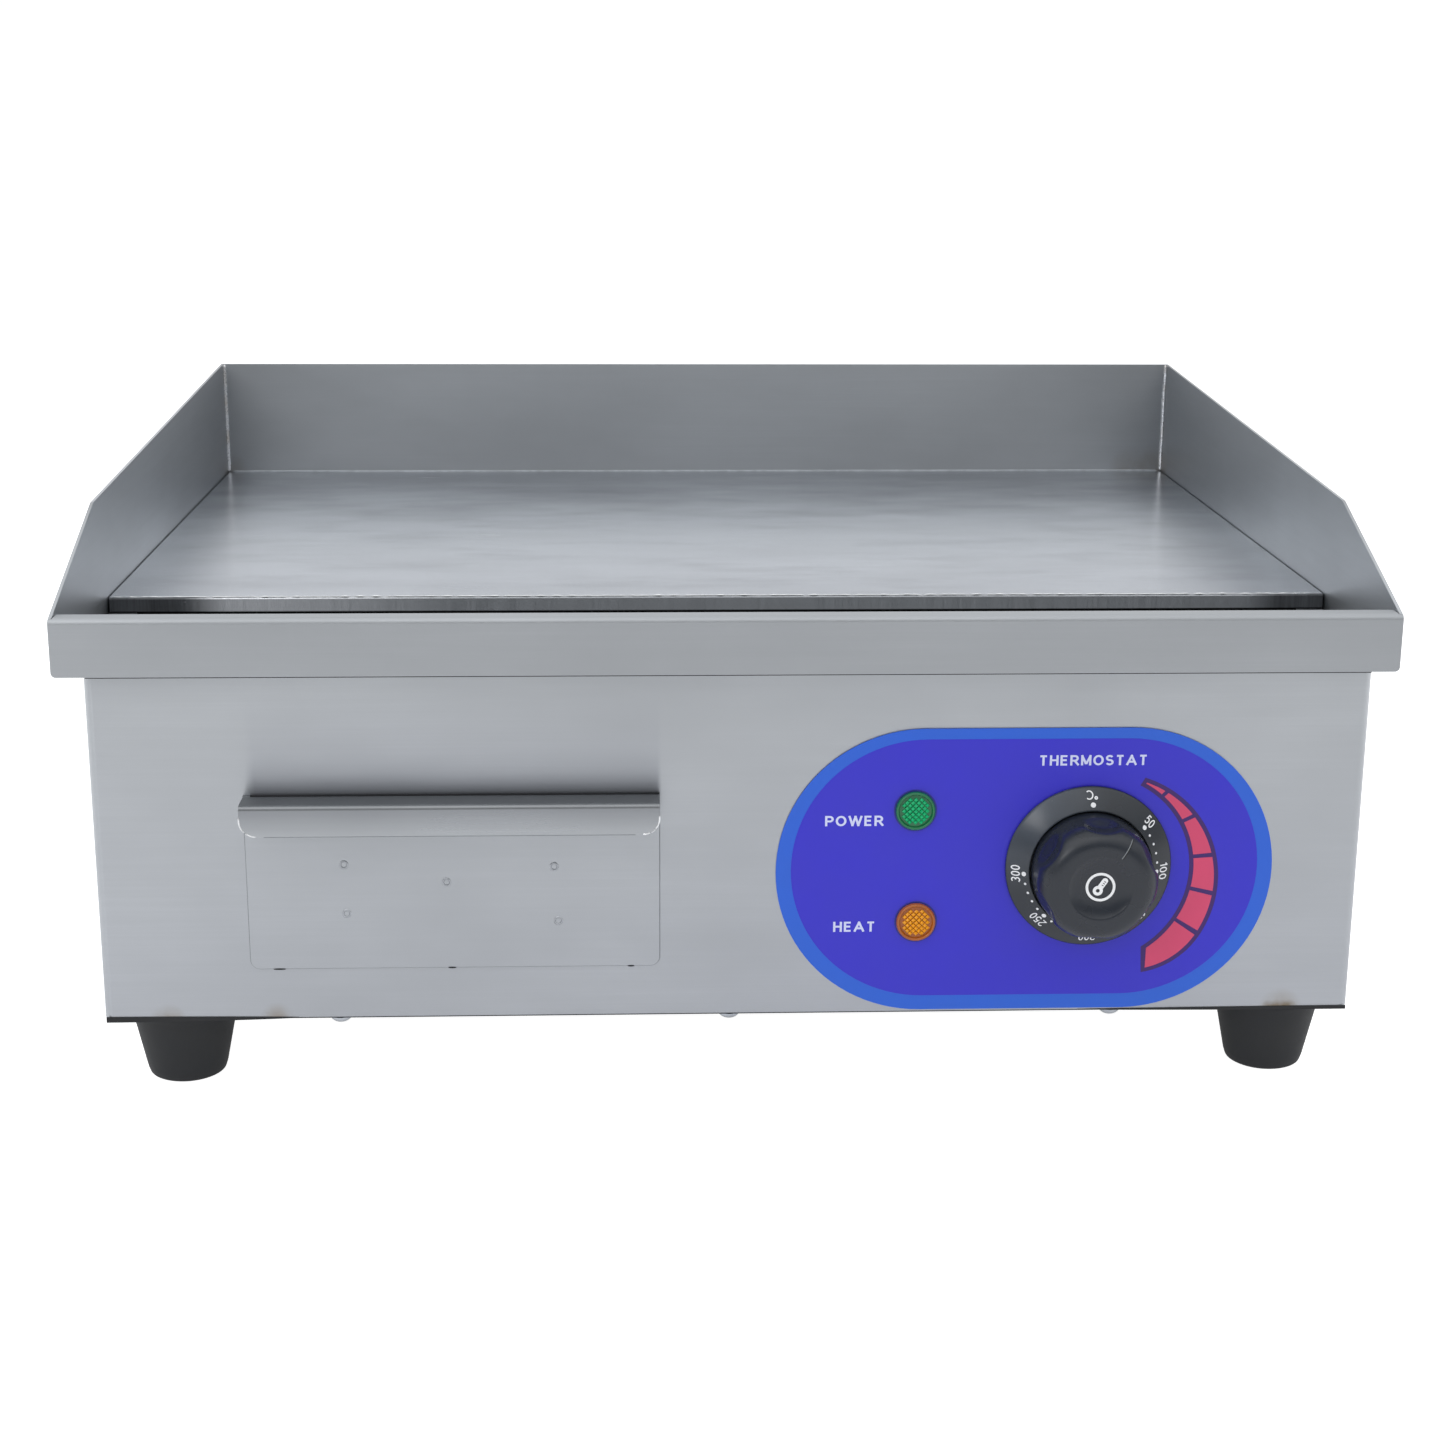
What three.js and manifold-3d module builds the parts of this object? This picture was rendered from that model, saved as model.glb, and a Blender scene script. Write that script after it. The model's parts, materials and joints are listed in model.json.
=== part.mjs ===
// A countertop electric griddle: a flat steel plate in a splash frame, on a folded sheet body with a
// grease drawer, a thermostat dial, two pilot lamps and four rubber feet.
// Millimetres. X runs to the right, Y to the back and Z up, and the pieces are laid out with the
// apron's front face at y = 0. The group at the end moves the middle of the whole to y = 0.
import * as THREE from "three";
import { mergeVertices } from "three/addons/utils/BufferGeometryUtils.js";
import Module from "manifold-3d";

const wasm = await Module();
wasm.setup();

// ---- driving dimensions ----
const GAP = 0.3; // clearance between pieces that touch on the real object
const HALF_WIDTH = 275; // over the splash frame
const FRAME_DEPTH = 451.5; // apron front to the back of the rear wall
const FRAME_SHEET = 1.5;
const FRAME_BOTTOM = 186.5; // underside of the splash frame
const APRON_TOP = 210.8;
const APRON_DEPTH = 11;
const WALL_TOP = 259; // rear wall
const WALL_BEND_Y = 91; // where the side wall's edge turns down to the apron
const WALL_BEND_Z = 242;
const LEDGE_WIDTH = 21.5; // inward ledge under the plate

const PLATE_FRONT = 107;
const PLATE_BOTTOM = FRAME_BOTTOM + FRAME_SHEET + GAP;
const PLATE_THICKNESS = 8;
const STUD_X = 122;
const CLAMP_Y = [190, 370];

const BODY_LEFT = -265;
const BODY_RIGHT = 267.5;
const BODY_FRONT = 10;
const BODY_BACK = 440;
const BODY_BOTTOM = 35;
const BODY_TOP = FRAME_BOTTOM - GAP;
const SKIN = 1.2; // body sheet
const BASE_TOP = BODY_BOTTOM - GAP;
const BASE_BOTTOM = BASE_TOP - SKIN;

const FOOT_X = [-236, 239.5];
const FOOT_Y = [38, 412];
const FOOT_BOTTOM_RADIUS = 16.5;
const FOOT_TOP_RADIUS = 23.5;

const TRAY_LEFT = -195.5;
const TRAY_RIGHT = -36.5;
const TRAY_BACK = 270;
const TRAY_BOTTOM = 63.5;
const TRAY_TOP = 122;
const DRAIN = { x: -116, y: 62, radius: 12 };

const DIAL = { x: 151.2, z: 100.5, radius: 35.2, grip: 25.2, front: -21 };
const DIAL_SCREW_OFFSET = 14;
const LAMPS = { power: { x: 77.4, z: 125.3 }, heat: { x: 78.8, z: 75.9 } };
const LABEL = { left: 19, right: 230, middle: 98.3, radius: 62.4, front: 9.3, back: 9.7 };

const GLAND = { x: 200, z: 70 };
const BASE_SCREWS = [
  ["front_left", -166, 17.5],
  ["front_middle", 0, 17.5],
  ["front_right", 165, 17.5],
  ["rear_left", -166, 432],
  ["rear_right", 165, 432],
];
const PANEL_SCREWS = [
  ["lower_left", -257, 60],
  ["lower_right", 257, 60],
  ["upper_left", -257, 165],
  ["upper_right", 257, 165],
];
const FRONT_MOST = DIAL.front;
const BACK_MOST = 463; // tip of the cable gland

// ---- materials: [colour, roughness, metalness] ----
const FINISH = {
  brushed: [0xb4b8bb, 0.35, 1],
  frame: [0xa6aaad, 0.35, 1],
  plate: [0xb9bec2, 0.3, 1],
  zinc: [0xc4c9ce, 0.4, 1],
  galvanised: [0x9da3a6, 0.5, 1],
  rubber: [0x26282a, 0.85, 0],
  black: [0x2d3033, 0.45, 0],
  label: [0x423cc8, 0.5, 0],
  green: [0x1d9a52, 0.25, 0],
  amber: [0xe08a1e, 0.25, 0],
  white: [0xe8e6df, 0.5, 0],
  element: [0x4b4f4a, 0.6, 1],
  copper: [0xb4714a, 0.4, 1],
  fibre: [0xeceae2, 0.95, 0],
  wire: [0x9c3a2c, 0.6, 0],
};

// ---- solids ----

// A closed three.js geometry as a solid, turned the right way out.
function solidOf(geometry) {
  const flat = geometry.index ? geometry.toNonIndexed() : geometry;
  const bare = new THREE.BufferGeometry();
  bare.setAttribute("position", flat.getAttribute("position"));
  const merged = mergeVertices(bare, 1e-4);
  const corners = [];
  for (let i = 0; i < merged.index.count; i += 3) {
    const [a, b, c] = [0, 1, 2].map((k) => merged.index.getX(i + k));
    if (a !== b && b !== c && c !== a) corners.push(a, b, c);
  }
  const make = (triVerts) =>
    new wasm.Manifold(
      new wasm.Mesh({
        numProp: 3,
        vertProperties: merged.attributes.position.array,
        triVerts: new Uint32Array(triVerts),
      }),
    );
  const made = make(corners);
  return made.volume() < 0 ? make(corners.reverse()) : made;
}

function union(...solids) {
  return solids.reduce((whole, one) => whole.add(one));
}

function box([x0, x1], [y0, y1], [z0, z1]) {
  const geometry = new THREE.BoxGeometry(Math.abs(x1 - x0), Math.abs(y1 - y0), Math.abs(z1 - z0));
  return solidOf(geometry.translate((x0 + x1) / 2, (y0 + y1) / 2, (z0 + z1) / 2));
}

// A round bar or hole along Y between two depths.
function barY(x, z, radius, y0, y1, sides = 16) {
  const geometry = new THREE.CylinderGeometry(radius, radius, Math.abs(y1 - y0), sides);
  return solidOf(geometry.translate(0, (y0 + y1) / 2, 0)).translate([x, 0, z]);
}

// A round bar or hole along Z between two heights.
function barZ(x, y, radius, z0, z1, sides = 16) {
  const geometry = new THREE.CylinderGeometry(radius, radius, Math.abs(z1 - z0), sides);
  return solidOf(geometry.rotateX(Math.PI / 2).translate(x, y, (z0 + z1) / 2));
}

// A profile of [radius, height] points turned about its own axis. A profile off the axis is a loop.
function turned(profile, sides) {
  const points = profile.map(([r, h]) => new THREE.Vector2(r, h));
  const onAxis = profile[0][0] === 0 && profile.at(-1)[0] === 0;
  if (!onAxis) points.push(points[0].clone());
  return solidOf(new THREE.LatheGeometry(points, sides));
}

// The same, about the Z axis through (x, y), with heights as z.
function turnedZ(x, y, profile, sides = 20) {
  return turned(profile, sides).rotate([90, 0, 0]).translate([x, y, 0]);
}

// The same, about the Y axis through (x, z), with heights as y.
function turnedY(x, z, profile, sides = 20) {
  return turned(profile, sides).translate([x, 0, z]);
}

// A shape or outline drawn in the plane across an axis, run along that axis.
// Across X it is drawn in (y, z), across Y in (x, z) and across Z in (x, y).
function run(axis, from, to, outline, curveSegments = 6) {
  const shape = Array.isArray(outline)
    ? new THREE.Shape(outline.map(([u, v]) => new THREE.Vector2(u, v)))
    : outline;
  const depth = to - from;
  const geometry = new THREE.ExtrudeGeometry(shape, { depth, bevelEnabled: false, curveSegments });
  const place = {
    x: new THREE.Matrix4().set(0, 0, 1, from, 1, 0, 0, 0, 0, 1, 0, 0, 0, 0, 0, 1),
    y: new THREE.Matrix4().set(1, 0, 0, 0, 0, 0, -1, to, 0, 1, 0, 0, 0, 0, 0, 1),
    z: new THREE.Matrix4().makeTranslation(0, 0, from),
  }[axis];
  return solidOf(geometry.applyMatrix4(place));
}

// A polyline with each inner corner replaced by an arc; works on points of 2 or 3 coordinates.
function rounded(points, radius, steps) {
  const to3 = (p) => new THREE.Vector3(p[0], p[1], p[2] ?? 0);
  const out = [points[0]];
  for (let i = 1; i < points.length - 1; i++) {
    const [before, corner, after] = [points[i - 1], points[i], points[i + 1]].map(to3);
    const back = before.sub(corner).normalize();
    const ahead = after.sub(corner).normalize();
    const half = back.angleTo(ahead) / 2;
    const reach = radius / Math.tan(half);
    const middle = back.clone().add(ahead).normalize().multiplyScalar(radius / Math.sin(half)).add(corner);
    const start = corner.clone().addScaledVector(back, reach).sub(middle);
    const end = corner.clone().addScaledVector(ahead, reach).sub(middle);
    const sweep = start.angleTo(end);
    for (let s = 0; s <= steps; s++) {
      const t = s / steps;
      const a = Math.sin((1 - t) * sweep) / Math.sin(sweep);
      const b = Math.sin(t * sweep) / Math.sin(sweep);
      const at = middle.clone().addScaledVector(start, a).addScaledVector(end, b);
      out.push(at.toArray().slice(0, points[i].length));
    }
  }
  return [...out, points.at(-1)];
}

// The outline of a sheet that follows a path, with its thickness on the path's left.
function folded(path, thickness) {
  const normals = path.slice(1).map(([u, v], i) => {
    const length = Math.hypot(u - path[i][0], v - path[i][1]);
    return [(path[i][1] - v) / length, (u - path[i][0]) / length];
  });
  const inner = path.map(([u, v], i) => {
    const a = normals[Math.max(i - 1, 0)];
    const b = normals[Math.min(i, normals.length - 1)];
    const scale = thickness / (1 + a[0] * b[0] + a[1] * b[1]);
    return [u + (a[0] + b[0]) * scale, v + (a[1] + b[1]) * scale];
  });
  return [...path, ...inner.reverse()];
}

// A round rod or wire along 3-D points, with bent corners.
function rod(points, radius, bend, sides = 8, steps = 4) {
  const path = rounded(points, bend, steps).map((p) => new THREE.Vector3(...p));
  const tangents = path.map((p, i) => {
    const after = path[Math.min(i + 1, path.length - 1)];
    return after.clone().sub(path[Math.max(i - 1, 0)]).normalize();
  });
  let side = new THREE.Vector3(0, 0, 1).cross(tangents[0]);
  if (side.length() < 0.1) side = new THREE.Vector3(1, 0, 0);
  const vertices = [];
  path.forEach((p, i) => {
    side.addScaledVector(tangents[i], -side.dot(tangents[i])).normalize();
    const other = tangents[i].clone().cross(side);
    for (let k = 0; k < sides; k++) {
      const angle = (2 * Math.PI * k) / sides;
      const ring = p.clone().addScaledVector(side, radius * Math.cos(angle));
      vertices.push(...ring.addScaledVector(other, radius * Math.sin(angle)).toArray());
    }
  });
  const index = [];
  const last = (path.length - 1) * sides;
  for (let k = 0; k < sides; k++) {
    const next = (k + 1) % sides;
    for (let i = 0; i < last; i += sides) {
      index.push(i + k, i + next, i + sides + k, i + next, i + sides + next, i + sides + k);
    }
    if (k > 0 && next > 0) index.push(0, next, k, last, last + k, last + next);
  }
  const geometry = new THREE.BufferGeometry();
  geometry.setAttribute("position", new THREE.Float32BufferAttribute(vertices, 3));
  return solidOf(geometry.setIndex(index));
}

// What rounds off a corner at (x, z), seen from the front: the square of it outside the arc.
function cornerCut(x, z, towardX, towardZ, radius, y0, y1) {
  const square = box([x - towardX, x + towardX * radius], [y0, y1], [z - towardZ, z + towardZ * radius]);
  return square.subtract(barY(x + towardX * radius, z + towardZ * radius, radius, y0 - 1, y1 + 1, 28));
}

// ---- the group ----
const griddle = new THREE.Group();

function add(name, finish, solid) {
  const mesh = solid.getMesh();
  const geometry = new THREE.BufferGeometry();
  const positions = new THREE.BufferAttribute(new Float32Array(mesh.vertProperties), 3);
  geometry.setAttribute("position", positions);
  geometry.setIndex(new THREE.BufferAttribute(mesh.triVerts, 1));
  const facets = geometry.toNonIndexed();
  facets.computeVertexNormals();
  const [color, roughness, metalness] = FINISH[finish];
  const piece = new THREE.Mesh(facets, new THREE.MeshStandardMaterial({ color, roughness, metalness }));
  piece.name = name;
  griddle.add(piece);
}

// ---- splash frame ----
const WALL_INNER = HALF_WIDTH - FRAME_SHEET;
const REAR_INNER = FRAME_DEPTH - FRAME_SHEET;
const LEDGE = [FRAME_BOTTOM, FRAME_BOTTOM + FRAME_SHEET];
const REAR_LEDGE = 25;
const TROUGH_BACK = 113;

function sideWall(side) {
  const front = FRAME_SHEET + GAP;
  const back = REAR_INNER - GAP;
  const panel = run("x", WALL_INNER, HALF_WIDTH, [
    [front, FRAME_BOTTOM],
    [back, FRAME_BOTTOM],
    [back, WALL_TOP],
    [WALL_BEND_Y, WALL_BEND_Z],
    [front, APRON_TOP],
  ]);
  const ledgeBack = REAR_INNER - REAR_LEDGE - GAP;
  const ledge = box([WALL_INNER - LEDGE_WIDTH, WALL_INNER + 0.5], [TROUGH_BACK + 3, ledgeBack], LEDGE);
  const narrow = box([266, WALL_INNER + 0.5], [APRON_DEPTH + 1, TROUGH_BACK + 4], LEDGE);
  const wall = union(panel, ledge, narrow);
  return side < 0 ? wall.mirror([1, 0, 0]) : wall;
}

function rearWall() {
  const panel = box([-HALF_WIDTH, HALF_WIDTH], [REAR_INNER, FRAME_DEPTH], [FRAME_BOTTOM, WALL_TOP]);
  const half = WALL_INNER - GAP;
  return panel.add(box([-half, half], [REAR_INNER - REAR_LEDGE, REAR_INNER + 0.5], LEDGE));
}

function apron() {
  const upper = [
    [APRON_DEPTH, FRAME_BOTTOM + 4],
    [APRON_DEPTH, APRON_TOP],
    [0, APRON_TOP],
    [0, FRAME_BOTTOM],
  ];
  const path = [...rounded(upper, 2.6, 4), [APRON_DEPTH - 2, FRAME_BOTTOM]];
  const channel = run("x", -HALF_WIDTH, HALF_WIDTH, folded(path, FRAME_SHEET));
  const ends = [-1, 1].flatMap((side) => [
    box([side * (WALL_INNER - GAP), side * (HALF_WIDTH + 1)], [FRAME_SHEET, 20], [180, 220]),
    box([side * 268, side * (HALF_WIDTH + 1)], [FRAME_SHEET, 20], [180, FRAME_BOTTOM + 3.5]),
    cornerCut(side * HALF_WIDTH, FRAME_BOTTOM, -side, 1, 2, -5, 20),
  ]);
  return channel.subtract(union(...ends));
}

add("left_splash_wall", "frame", sideWall(-1));
add("right_splash_wall", "frame", sideWall(1));
add("rear_splash_wall", "frame", rearWall());
add("front_apron", "frame", apron());

// ---- plate ----
const PLATE_HALF = WALL_INNER - 0.5;
const PLATE_TOP = PLATE_BOTTOM + PLATE_THICKNESS;
const ELEMENT_RADIUS = 4;
const ELEMENT_Z = PLATE_BOTTOM - 0.5 - ELEMENT_RADIUS;
const BAR_TOP = ELEMENT_Z - ELEMENT_RADIUS - GAP;
const BAR_THICKNESS = 2.7;

function griddlePlate() {
  const chamfer = 0.8;
  const front = PLATE_FRONT;
  const back = REAR_INNER - 0.6;
  const slab = run("x", -PLATE_HALF, PLATE_HALF, [
    [front, PLATE_BOTTOM],
    [back, PLATE_BOTTOM],
    [back, PLATE_TOP],
    [front + chamfer, PLATE_TOP],
    [front, PLATE_TOP - chamfer],
  ]);
  const studs = CLAMP_Y.flatMap((y) =>
    [-STUD_X, STUD_X].map((x) => barZ(x, y, 3, PLATE_BOTTOM - 20, PLATE_BOTTOM + 1, 12)),
  );
  return union(slab, ...studs);
}

add("griddle_plate", "plate", griddlePlate());

// ---- grease trough and drain ----
const TROUGH_FRONT = BODY_FRONT + SKIN + 0.4;
const TROUGH_FLOOR = 168;
const TROUGH_HALF = 261.8;

function greaseTrough() {
  const rim = [LEDGE[1] + GAP, LEDGE[1] + GAP + SKIN];
  const rimBack = PLATE_FRONT - 0.7;
  const long = [-TROUGH_HALF, TROUGH_HALF];
  const floor = box(long, [TROUGH_FRONT, TROUGH_BACK], [TROUGH_FLOOR, TROUGH_FLOOR + SKIN]);
  const front = box(long, [TROUGH_FRONT, TROUGH_FRONT + SKIN], [TROUGH_FLOOR, 200]);
  const back = box(long, [TROUGH_BACK - SKIN, TROUGH_BACK], [TROUGH_FLOOR, PLATE_BOTTOM - 0.5]);
  const ends = [-1, 1].flatMap((side) => {
    const inner = side * (TROUGH_HALF - SKIN);
    return [
      box([inner, side * TROUGH_HALF], [TROUGH_FRONT, TROUGH_BACK], [TROUGH_FLOOR, PLATE_BOTTOM - 0.5]),
      box([inner, side * TROUGH_HALF], [TROUGH_FRONT, rimBack], [TROUGH_FLOOR, rim[1]]),
      box([inner, side * (WALL_INNER - 0.6)], [TROUGH_FRONT, rimBack], rim),
    ];
  });
  const hole = barZ(DRAIN.x, DRAIN.y, DRAIN.radius, TROUGH_FLOOR - 5, TROUGH_FLOOR + 5);
  return union(floor, front, back, ...ends).subtract(hole);
}

function drainSpout() {
  const outer = DRAIN.radius - 0.4;
  const flangeTop = TROUGH_FLOOR - GAP;
  return turnedZ(DRAIN.x, DRAIN.y, [
    [outer, 146],
    [outer, flangeTop - SKIN],
    [18, flangeTop - SKIN],
    [18, flangeTop],
    [outer, flangeTop],
    [outer, TROUGH_FLOOR + SKIN],
    [outer - SKIN, TROUGH_FLOOR + SKIN],
    [outer - SKIN, 146],
  ]);
}

add("grease_trough", "frame", greaseTrough());
add("drain_spout", "frame", drainSpout());

// ---- body ----
const FLANGE = 16;
const SCREW_HOLE = 2.2;

// X at a distance inside the body's left or right face.
function bodyEdge(side, inset) {
  return side < 0 ? BODY_LEFT + inset : BODY_RIGHT - inset;
}

function bodyShell() {
  const corners = rounded(
    [
      [BODY_RIGHT, BODY_BACK],
      [BODY_RIGHT, BODY_FRONT],
      [BODY_LEFT, BODY_FRONT],
      [BODY_LEFT, BODY_BACK],
    ],
    4,
    5,
  );
  const skin = run("z", BODY_BOTTOM, BODY_TOP, folded(corners.reverse(), SKIN));
  const lower = [BODY_BOTTOM, BODY_BOTTOM + SKIN];
  const upper = [BODY_TOP - SKIN, BODY_TOP];
  const front = [bodyEdge(-1, 4.8), bodyEdge(1, 4.8)];
  const flanges = [box(front, [BODY_FRONT + 0.8, BODY_FRONT + FLANGE], lower)];
  for (const side of [-1, 1]) {
    const inner = bodyEdge(side, 0.8);
    const across = [bodyEdge(side, FLANGE), inner];
    flanges.push(
      box(across, [BODY_FRONT + FLANGE - 1, BODY_BACK], lower),
      box([bodyEdge(side, FLANGE + 1), inner], [TROUGH_BACK + 3, BODY_BACK - 2.5], upper),
      box(across, [BODY_BACK - SKIN, BODY_BACK], [BODY_BOTTOM, BODY_TOP]),
    );
  }
  const [y0, y1] = [BODY_FRONT - 5, BODY_FRONT + 5];
  const holes = [
    box([TRAY_LEFT - 1.5, TRAY_RIGHT + 1.5], [y0, y1], [TRAY_BOTTOM - 1.5, TRAY_TOP + 5]),
    ...Object.values(LAMPS).map(({ x, z }) => barY(x, z, 6, y0, y1)),
    barY(DIAL.x, DIAL.z, 5.5, y0, y1),
    barY(DIAL.x - DIAL_SCREW_OFFSET, DIAL.z, 2.3, y0, y1, 12),
    barY(DIAL.x + DIAL_SCREW_OFFSET, DIAL.z, 2.3, y0, y1, 12),
    ...BASE_SCREWS.map(([, x, y]) => barZ(x, y, SCREW_HOLE, BODY_BOTTOM - 5, BODY_BOTTOM + 5, 12)),
    ...PANEL_SCREWS.map(([, x, z]) => barY(x, z, SCREW_HOLE, BODY_BACK - 5, BODY_BACK + 5, 12)),
  ];
  return union(skin, ...flanges).subtract(union(...holes));
}

function rearPanel() {
  const front = BODY_BACK + GAP;
  const width = [bodyEdge(-1, 3), bodyEdge(1, 3)];
  const across = [bodyEdge(-1, FLANGE + 1.5), bodyEdge(1, FLANGE + 1.5)];
  const panel = box(width, [front, front + SKIN], [BODY_BOTTOM, BODY_TOP]);
  const flanges = [
    box(across, [428, front + 0.5], [BODY_TOP - SKIN, BODY_TOP]),
    box(across, [425, front + 0.5], [BODY_BOTTOM, BODY_BOTTOM + SKIN]),
  ];
  const holes = [
    barY(GLAND.x, GLAND.z, 8.3, 435, 445),
    ...PANEL_SCREWS.map(([, x, z]) => barY(x, z, SCREW_HOLE, 435, 445, 12)),
    ...BASE_SCREWS.map(([, x, y]) => barZ(x, y, SCREW_HOLE, 30, 40, 12)),
  ];
  for (let row = 0; row < 5; row++) {
    const height = [100 + 14 * row, 105 + 14 * row];
    for (const x of [-120, 120]) {
      holes.push(box([x - 40, x + 40], [435, 445], height));
    }
  }
  return union(panel, ...flanges).subtract(union(...holes));
}

function basePlate() {
  const width = [bodyEdge(-1, 3), bodyEdge(1, 3)];
  const plate = box(width, [12.5, BODY_BACK - 1], [BASE_BOTTOM, BASE_TOP]);
  const corners = FOOT_Y.flatMap((y) => FOOT_X.map((x) => [x, y]));
  const weldNuts = corners.map(([x, y]) => barZ(x, y, 6, BASE_BOTTOM + 0.5, BASE_TOP + 4.5, 6));
  const holes = [
    ...corners.map(([x, y]) => barZ(x, y, 3.3, 25, 45, 12)),
    ...BASE_SCREWS.map(([, x, y]) => barZ(x, y, SCREW_HOLE, 25, 45, 12)),
  ];
  for (let slot = 0; slot < 6; slot++) {
    const y = 150 + 32 * slot;
    holes.push(box([20, 80], [y, y + 6], [25, 45]), box([110, 170], [y, y + 6], [25, 45]));
  }
  return union(plate, ...weldNuts).subtract(union(...holes));
}

add("body_shell", "brushed", bodyShell());
add("rear_panel", "brushed", rearPanel());
add("base_plate", "galvanised", basePlate());

// ---- feet and fasteners ----

function foot(x, y) {
  const top = BASE_BOTTOM - GAP;
  const slope = (FOOT_TOP_RADIUS - FOOT_BOTTOM_RADIUS) / top;
  return turnedZ(x, y, [
    [8, 0],
    [FOOT_BOTTOM_RADIUS - 2, 0],
    [FOOT_BOTTOM_RADIUS - 0.5, 0.7],
    [FOOT_BOTTOM_RADIUS + 2.5 * slope, 2.5],
    [FOOT_TOP_RADIUS - slope, top - 1],
    [FOOT_TOP_RADIUS - 1, top],
    [4, top],
    [4, 18],
    [8, 18],
  ]);
}

function footScrew(x, y) {
  return turnedZ(
    x,
    y,
    [
      [0, 13],
      [5, 13],
      [6.5, 14.5],
      [6.5, 18 - GAP],
      [3, 18 - GAP],
      [3, 42],
      [0, 42],
    ],
    12,
  );
}

// A pan-head screw as [radius, height] points, head downwards, its seat at height 0.
const PAN_SCREW = [
  [0, -3],
  [2.8, -2.7],
  [4.7, -1.4],
  [4.7, 0],
  [1.9, 0],
  [1.9, 9],
  [0, 10],
];

FOOT_Y.forEach((y, row) => {
  FOOT_X.forEach((x, column) => {
    const place = (row ? "rear" : "front") + (column ? "_right" : "_left");
    add("foot_" + place, "rubber", foot(x, y));
    add("foot_screw_" + place, "zinc", footScrew(x, y));
  });
});
for (const [place, x, y] of BASE_SCREWS) {
  add("base_screw_" + place, "zinc", turnedZ(x, y, PAN_SCREW, 10).translate([0, 0, BASE_BOTTOM - GAP]));
}
for (const [place, x, z] of PANEL_SCREWS) {
  const seat = BODY_BACK + GAP + SKIN + GAP;
  const profile = PAN_SCREW.map(([r, h]) => [r, seat - h]);
  add("rear_panel_screw_" + place, "zinc", turnedY(x, z, profile, 10));
}

// ---- grease drawer ----
const FACE = { left: -202, right: -29.9, bottom: 57.5, top: 133.5, back: BODY_FRONT - GAP };
const LIP = { front: -5.5, bottom: 120.3 };
const RAIL_TOP = 110;

function drawerFront() {
  const path = [
    [FACE.back, FACE.bottom],
    [FACE.back, FACE.top],
    [LIP.front, FACE.top],
    [LIP.front, LIP.bottom],
  ];
  const sheet = run("x", FACE.left, FACE.right, folded(rounded(path, 2, 4), SKIN));
  const corners = [
    [FACE.left, 1],
    [FACE.right, -1],
  ].flatMap(([x, inward]) => [
    cornerCut(x, FACE.bottom, inward, 1, 4, FACE.back - 5, FACE.back + 5),
    cornerCut(x, LIP.bottom, inward, 1, 7, LIP.front - 2, LIP.front + 4),
  ]);
  return sheet.subtract(union(...corners));
}

function drawerTray() {
  const wall = 1;
  const outer = box([TRAY_LEFT, TRAY_RIGHT], [BODY_FRONT, TRAY_BACK], [TRAY_BOTTOM, TRAY_TOP]);
  const inner = box(
    [TRAY_LEFT + wall, TRAY_RIGHT - wall],
    [BODY_FRONT + wall, TRAY_BACK - wall],
    [TRAY_BOTTOM + wall, TRAY_TOP + 5],
  );
  return outer.subtract(inner);
}

function drawerRail(edge, outward) {
  const web = edge + 2.3 * outward;
  const ends = [BODY_FRONT + 2, TRAY_BACK + 20];
  const ledge = [TRAY_BOTTOM - GAP - SKIN, TRAY_BOTTOM - GAP];
  return union(
    box([web, web + SKIN * outward], ends, [BODY_BOTTOM + 3, RAIL_TOP]),
    box([web - 11 * outward, web + 0.5 * outward], ends, ledge),
    box([web, web + SKIN * outward], [28, ends[1]], [BODY_BOTTOM, BODY_BOTTOM + 4]),
    box([web, web + 16 * outward], [28, ends[1]], [BODY_BOTTOM, BODY_BOTTOM + SKIN]),
  );
}

add("drawer_front", "brushed", drawerFront());
add("drawer_tray", "brushed", drawerTray());
add("drawer_rail_left", "galvanised", drawerRail(TRAY_LEFT, -1));
add("drawer_rail_right", "galvanised", drawerRail(TRAY_RIGHT, 1));

// ---- controls ----

function controlLabel() {
  const { left, right, middle, radius } = LABEL;
  const shape = new THREE.Shape();
  shape.absarc(right - radius, middle, radius, -Math.PI / 2, Math.PI / 2);
  shape.absarc(left + radius, middle, radius, Math.PI / 2, (3 * Math.PI) / 2);
  const [y0, y1] = [LABEL.front - 5, LABEL.back + 5];
  const holes = [
    ...Object.values(LAMPS).map(({ x, z }) => barY(x, z, 6, y0, y1)),
    barY(DIAL.x, DIAL.z, 6, y0, y1),
    barY(DIAL.x - DIAL_SCREW_OFFSET, DIAL.z, 2.4, y0, y1, 12),
    barY(DIAL.x + DIAL_SCREW_OFFSET, DIAL.z, 2.4, y0, y1, 12),
  ];
  return run("y", LABEL.front, LABEL.back, shape, 16).subtract(union(...holes));
}

function dialRing() {
  const back = LABEL.front - GAP;
  const ring = turnedY(
    DIAL.x,
    DIAL.z,
    [
      [6, back],
      [DIAL.radius, back],
      [DIAL.radius, back - 1.3],
      [DIAL.radius - 0.6, back - 1.9],
      [26.4, 2.2],
      [25.8, 2.4],
      [25.8, 7],
      [6, 7],
    ],
    40,
  );
  const holes = [-1, 1].map((side) => barY(DIAL.x + side * DIAL_SCREW_OFFSET, DIAL.z, 2.4, 0, 20, 12));
  return ring.subtract(union(...holes));
}

// The grip turns with the shaft. It is drawn about its own axis with the pointer straight up.
const POINTER_ANGLE = 33; // degrees clockwise from the mark at the top, as it stands
const SCALLOP = { radius: 24, depth: 1.9, start: 0 };

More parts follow.
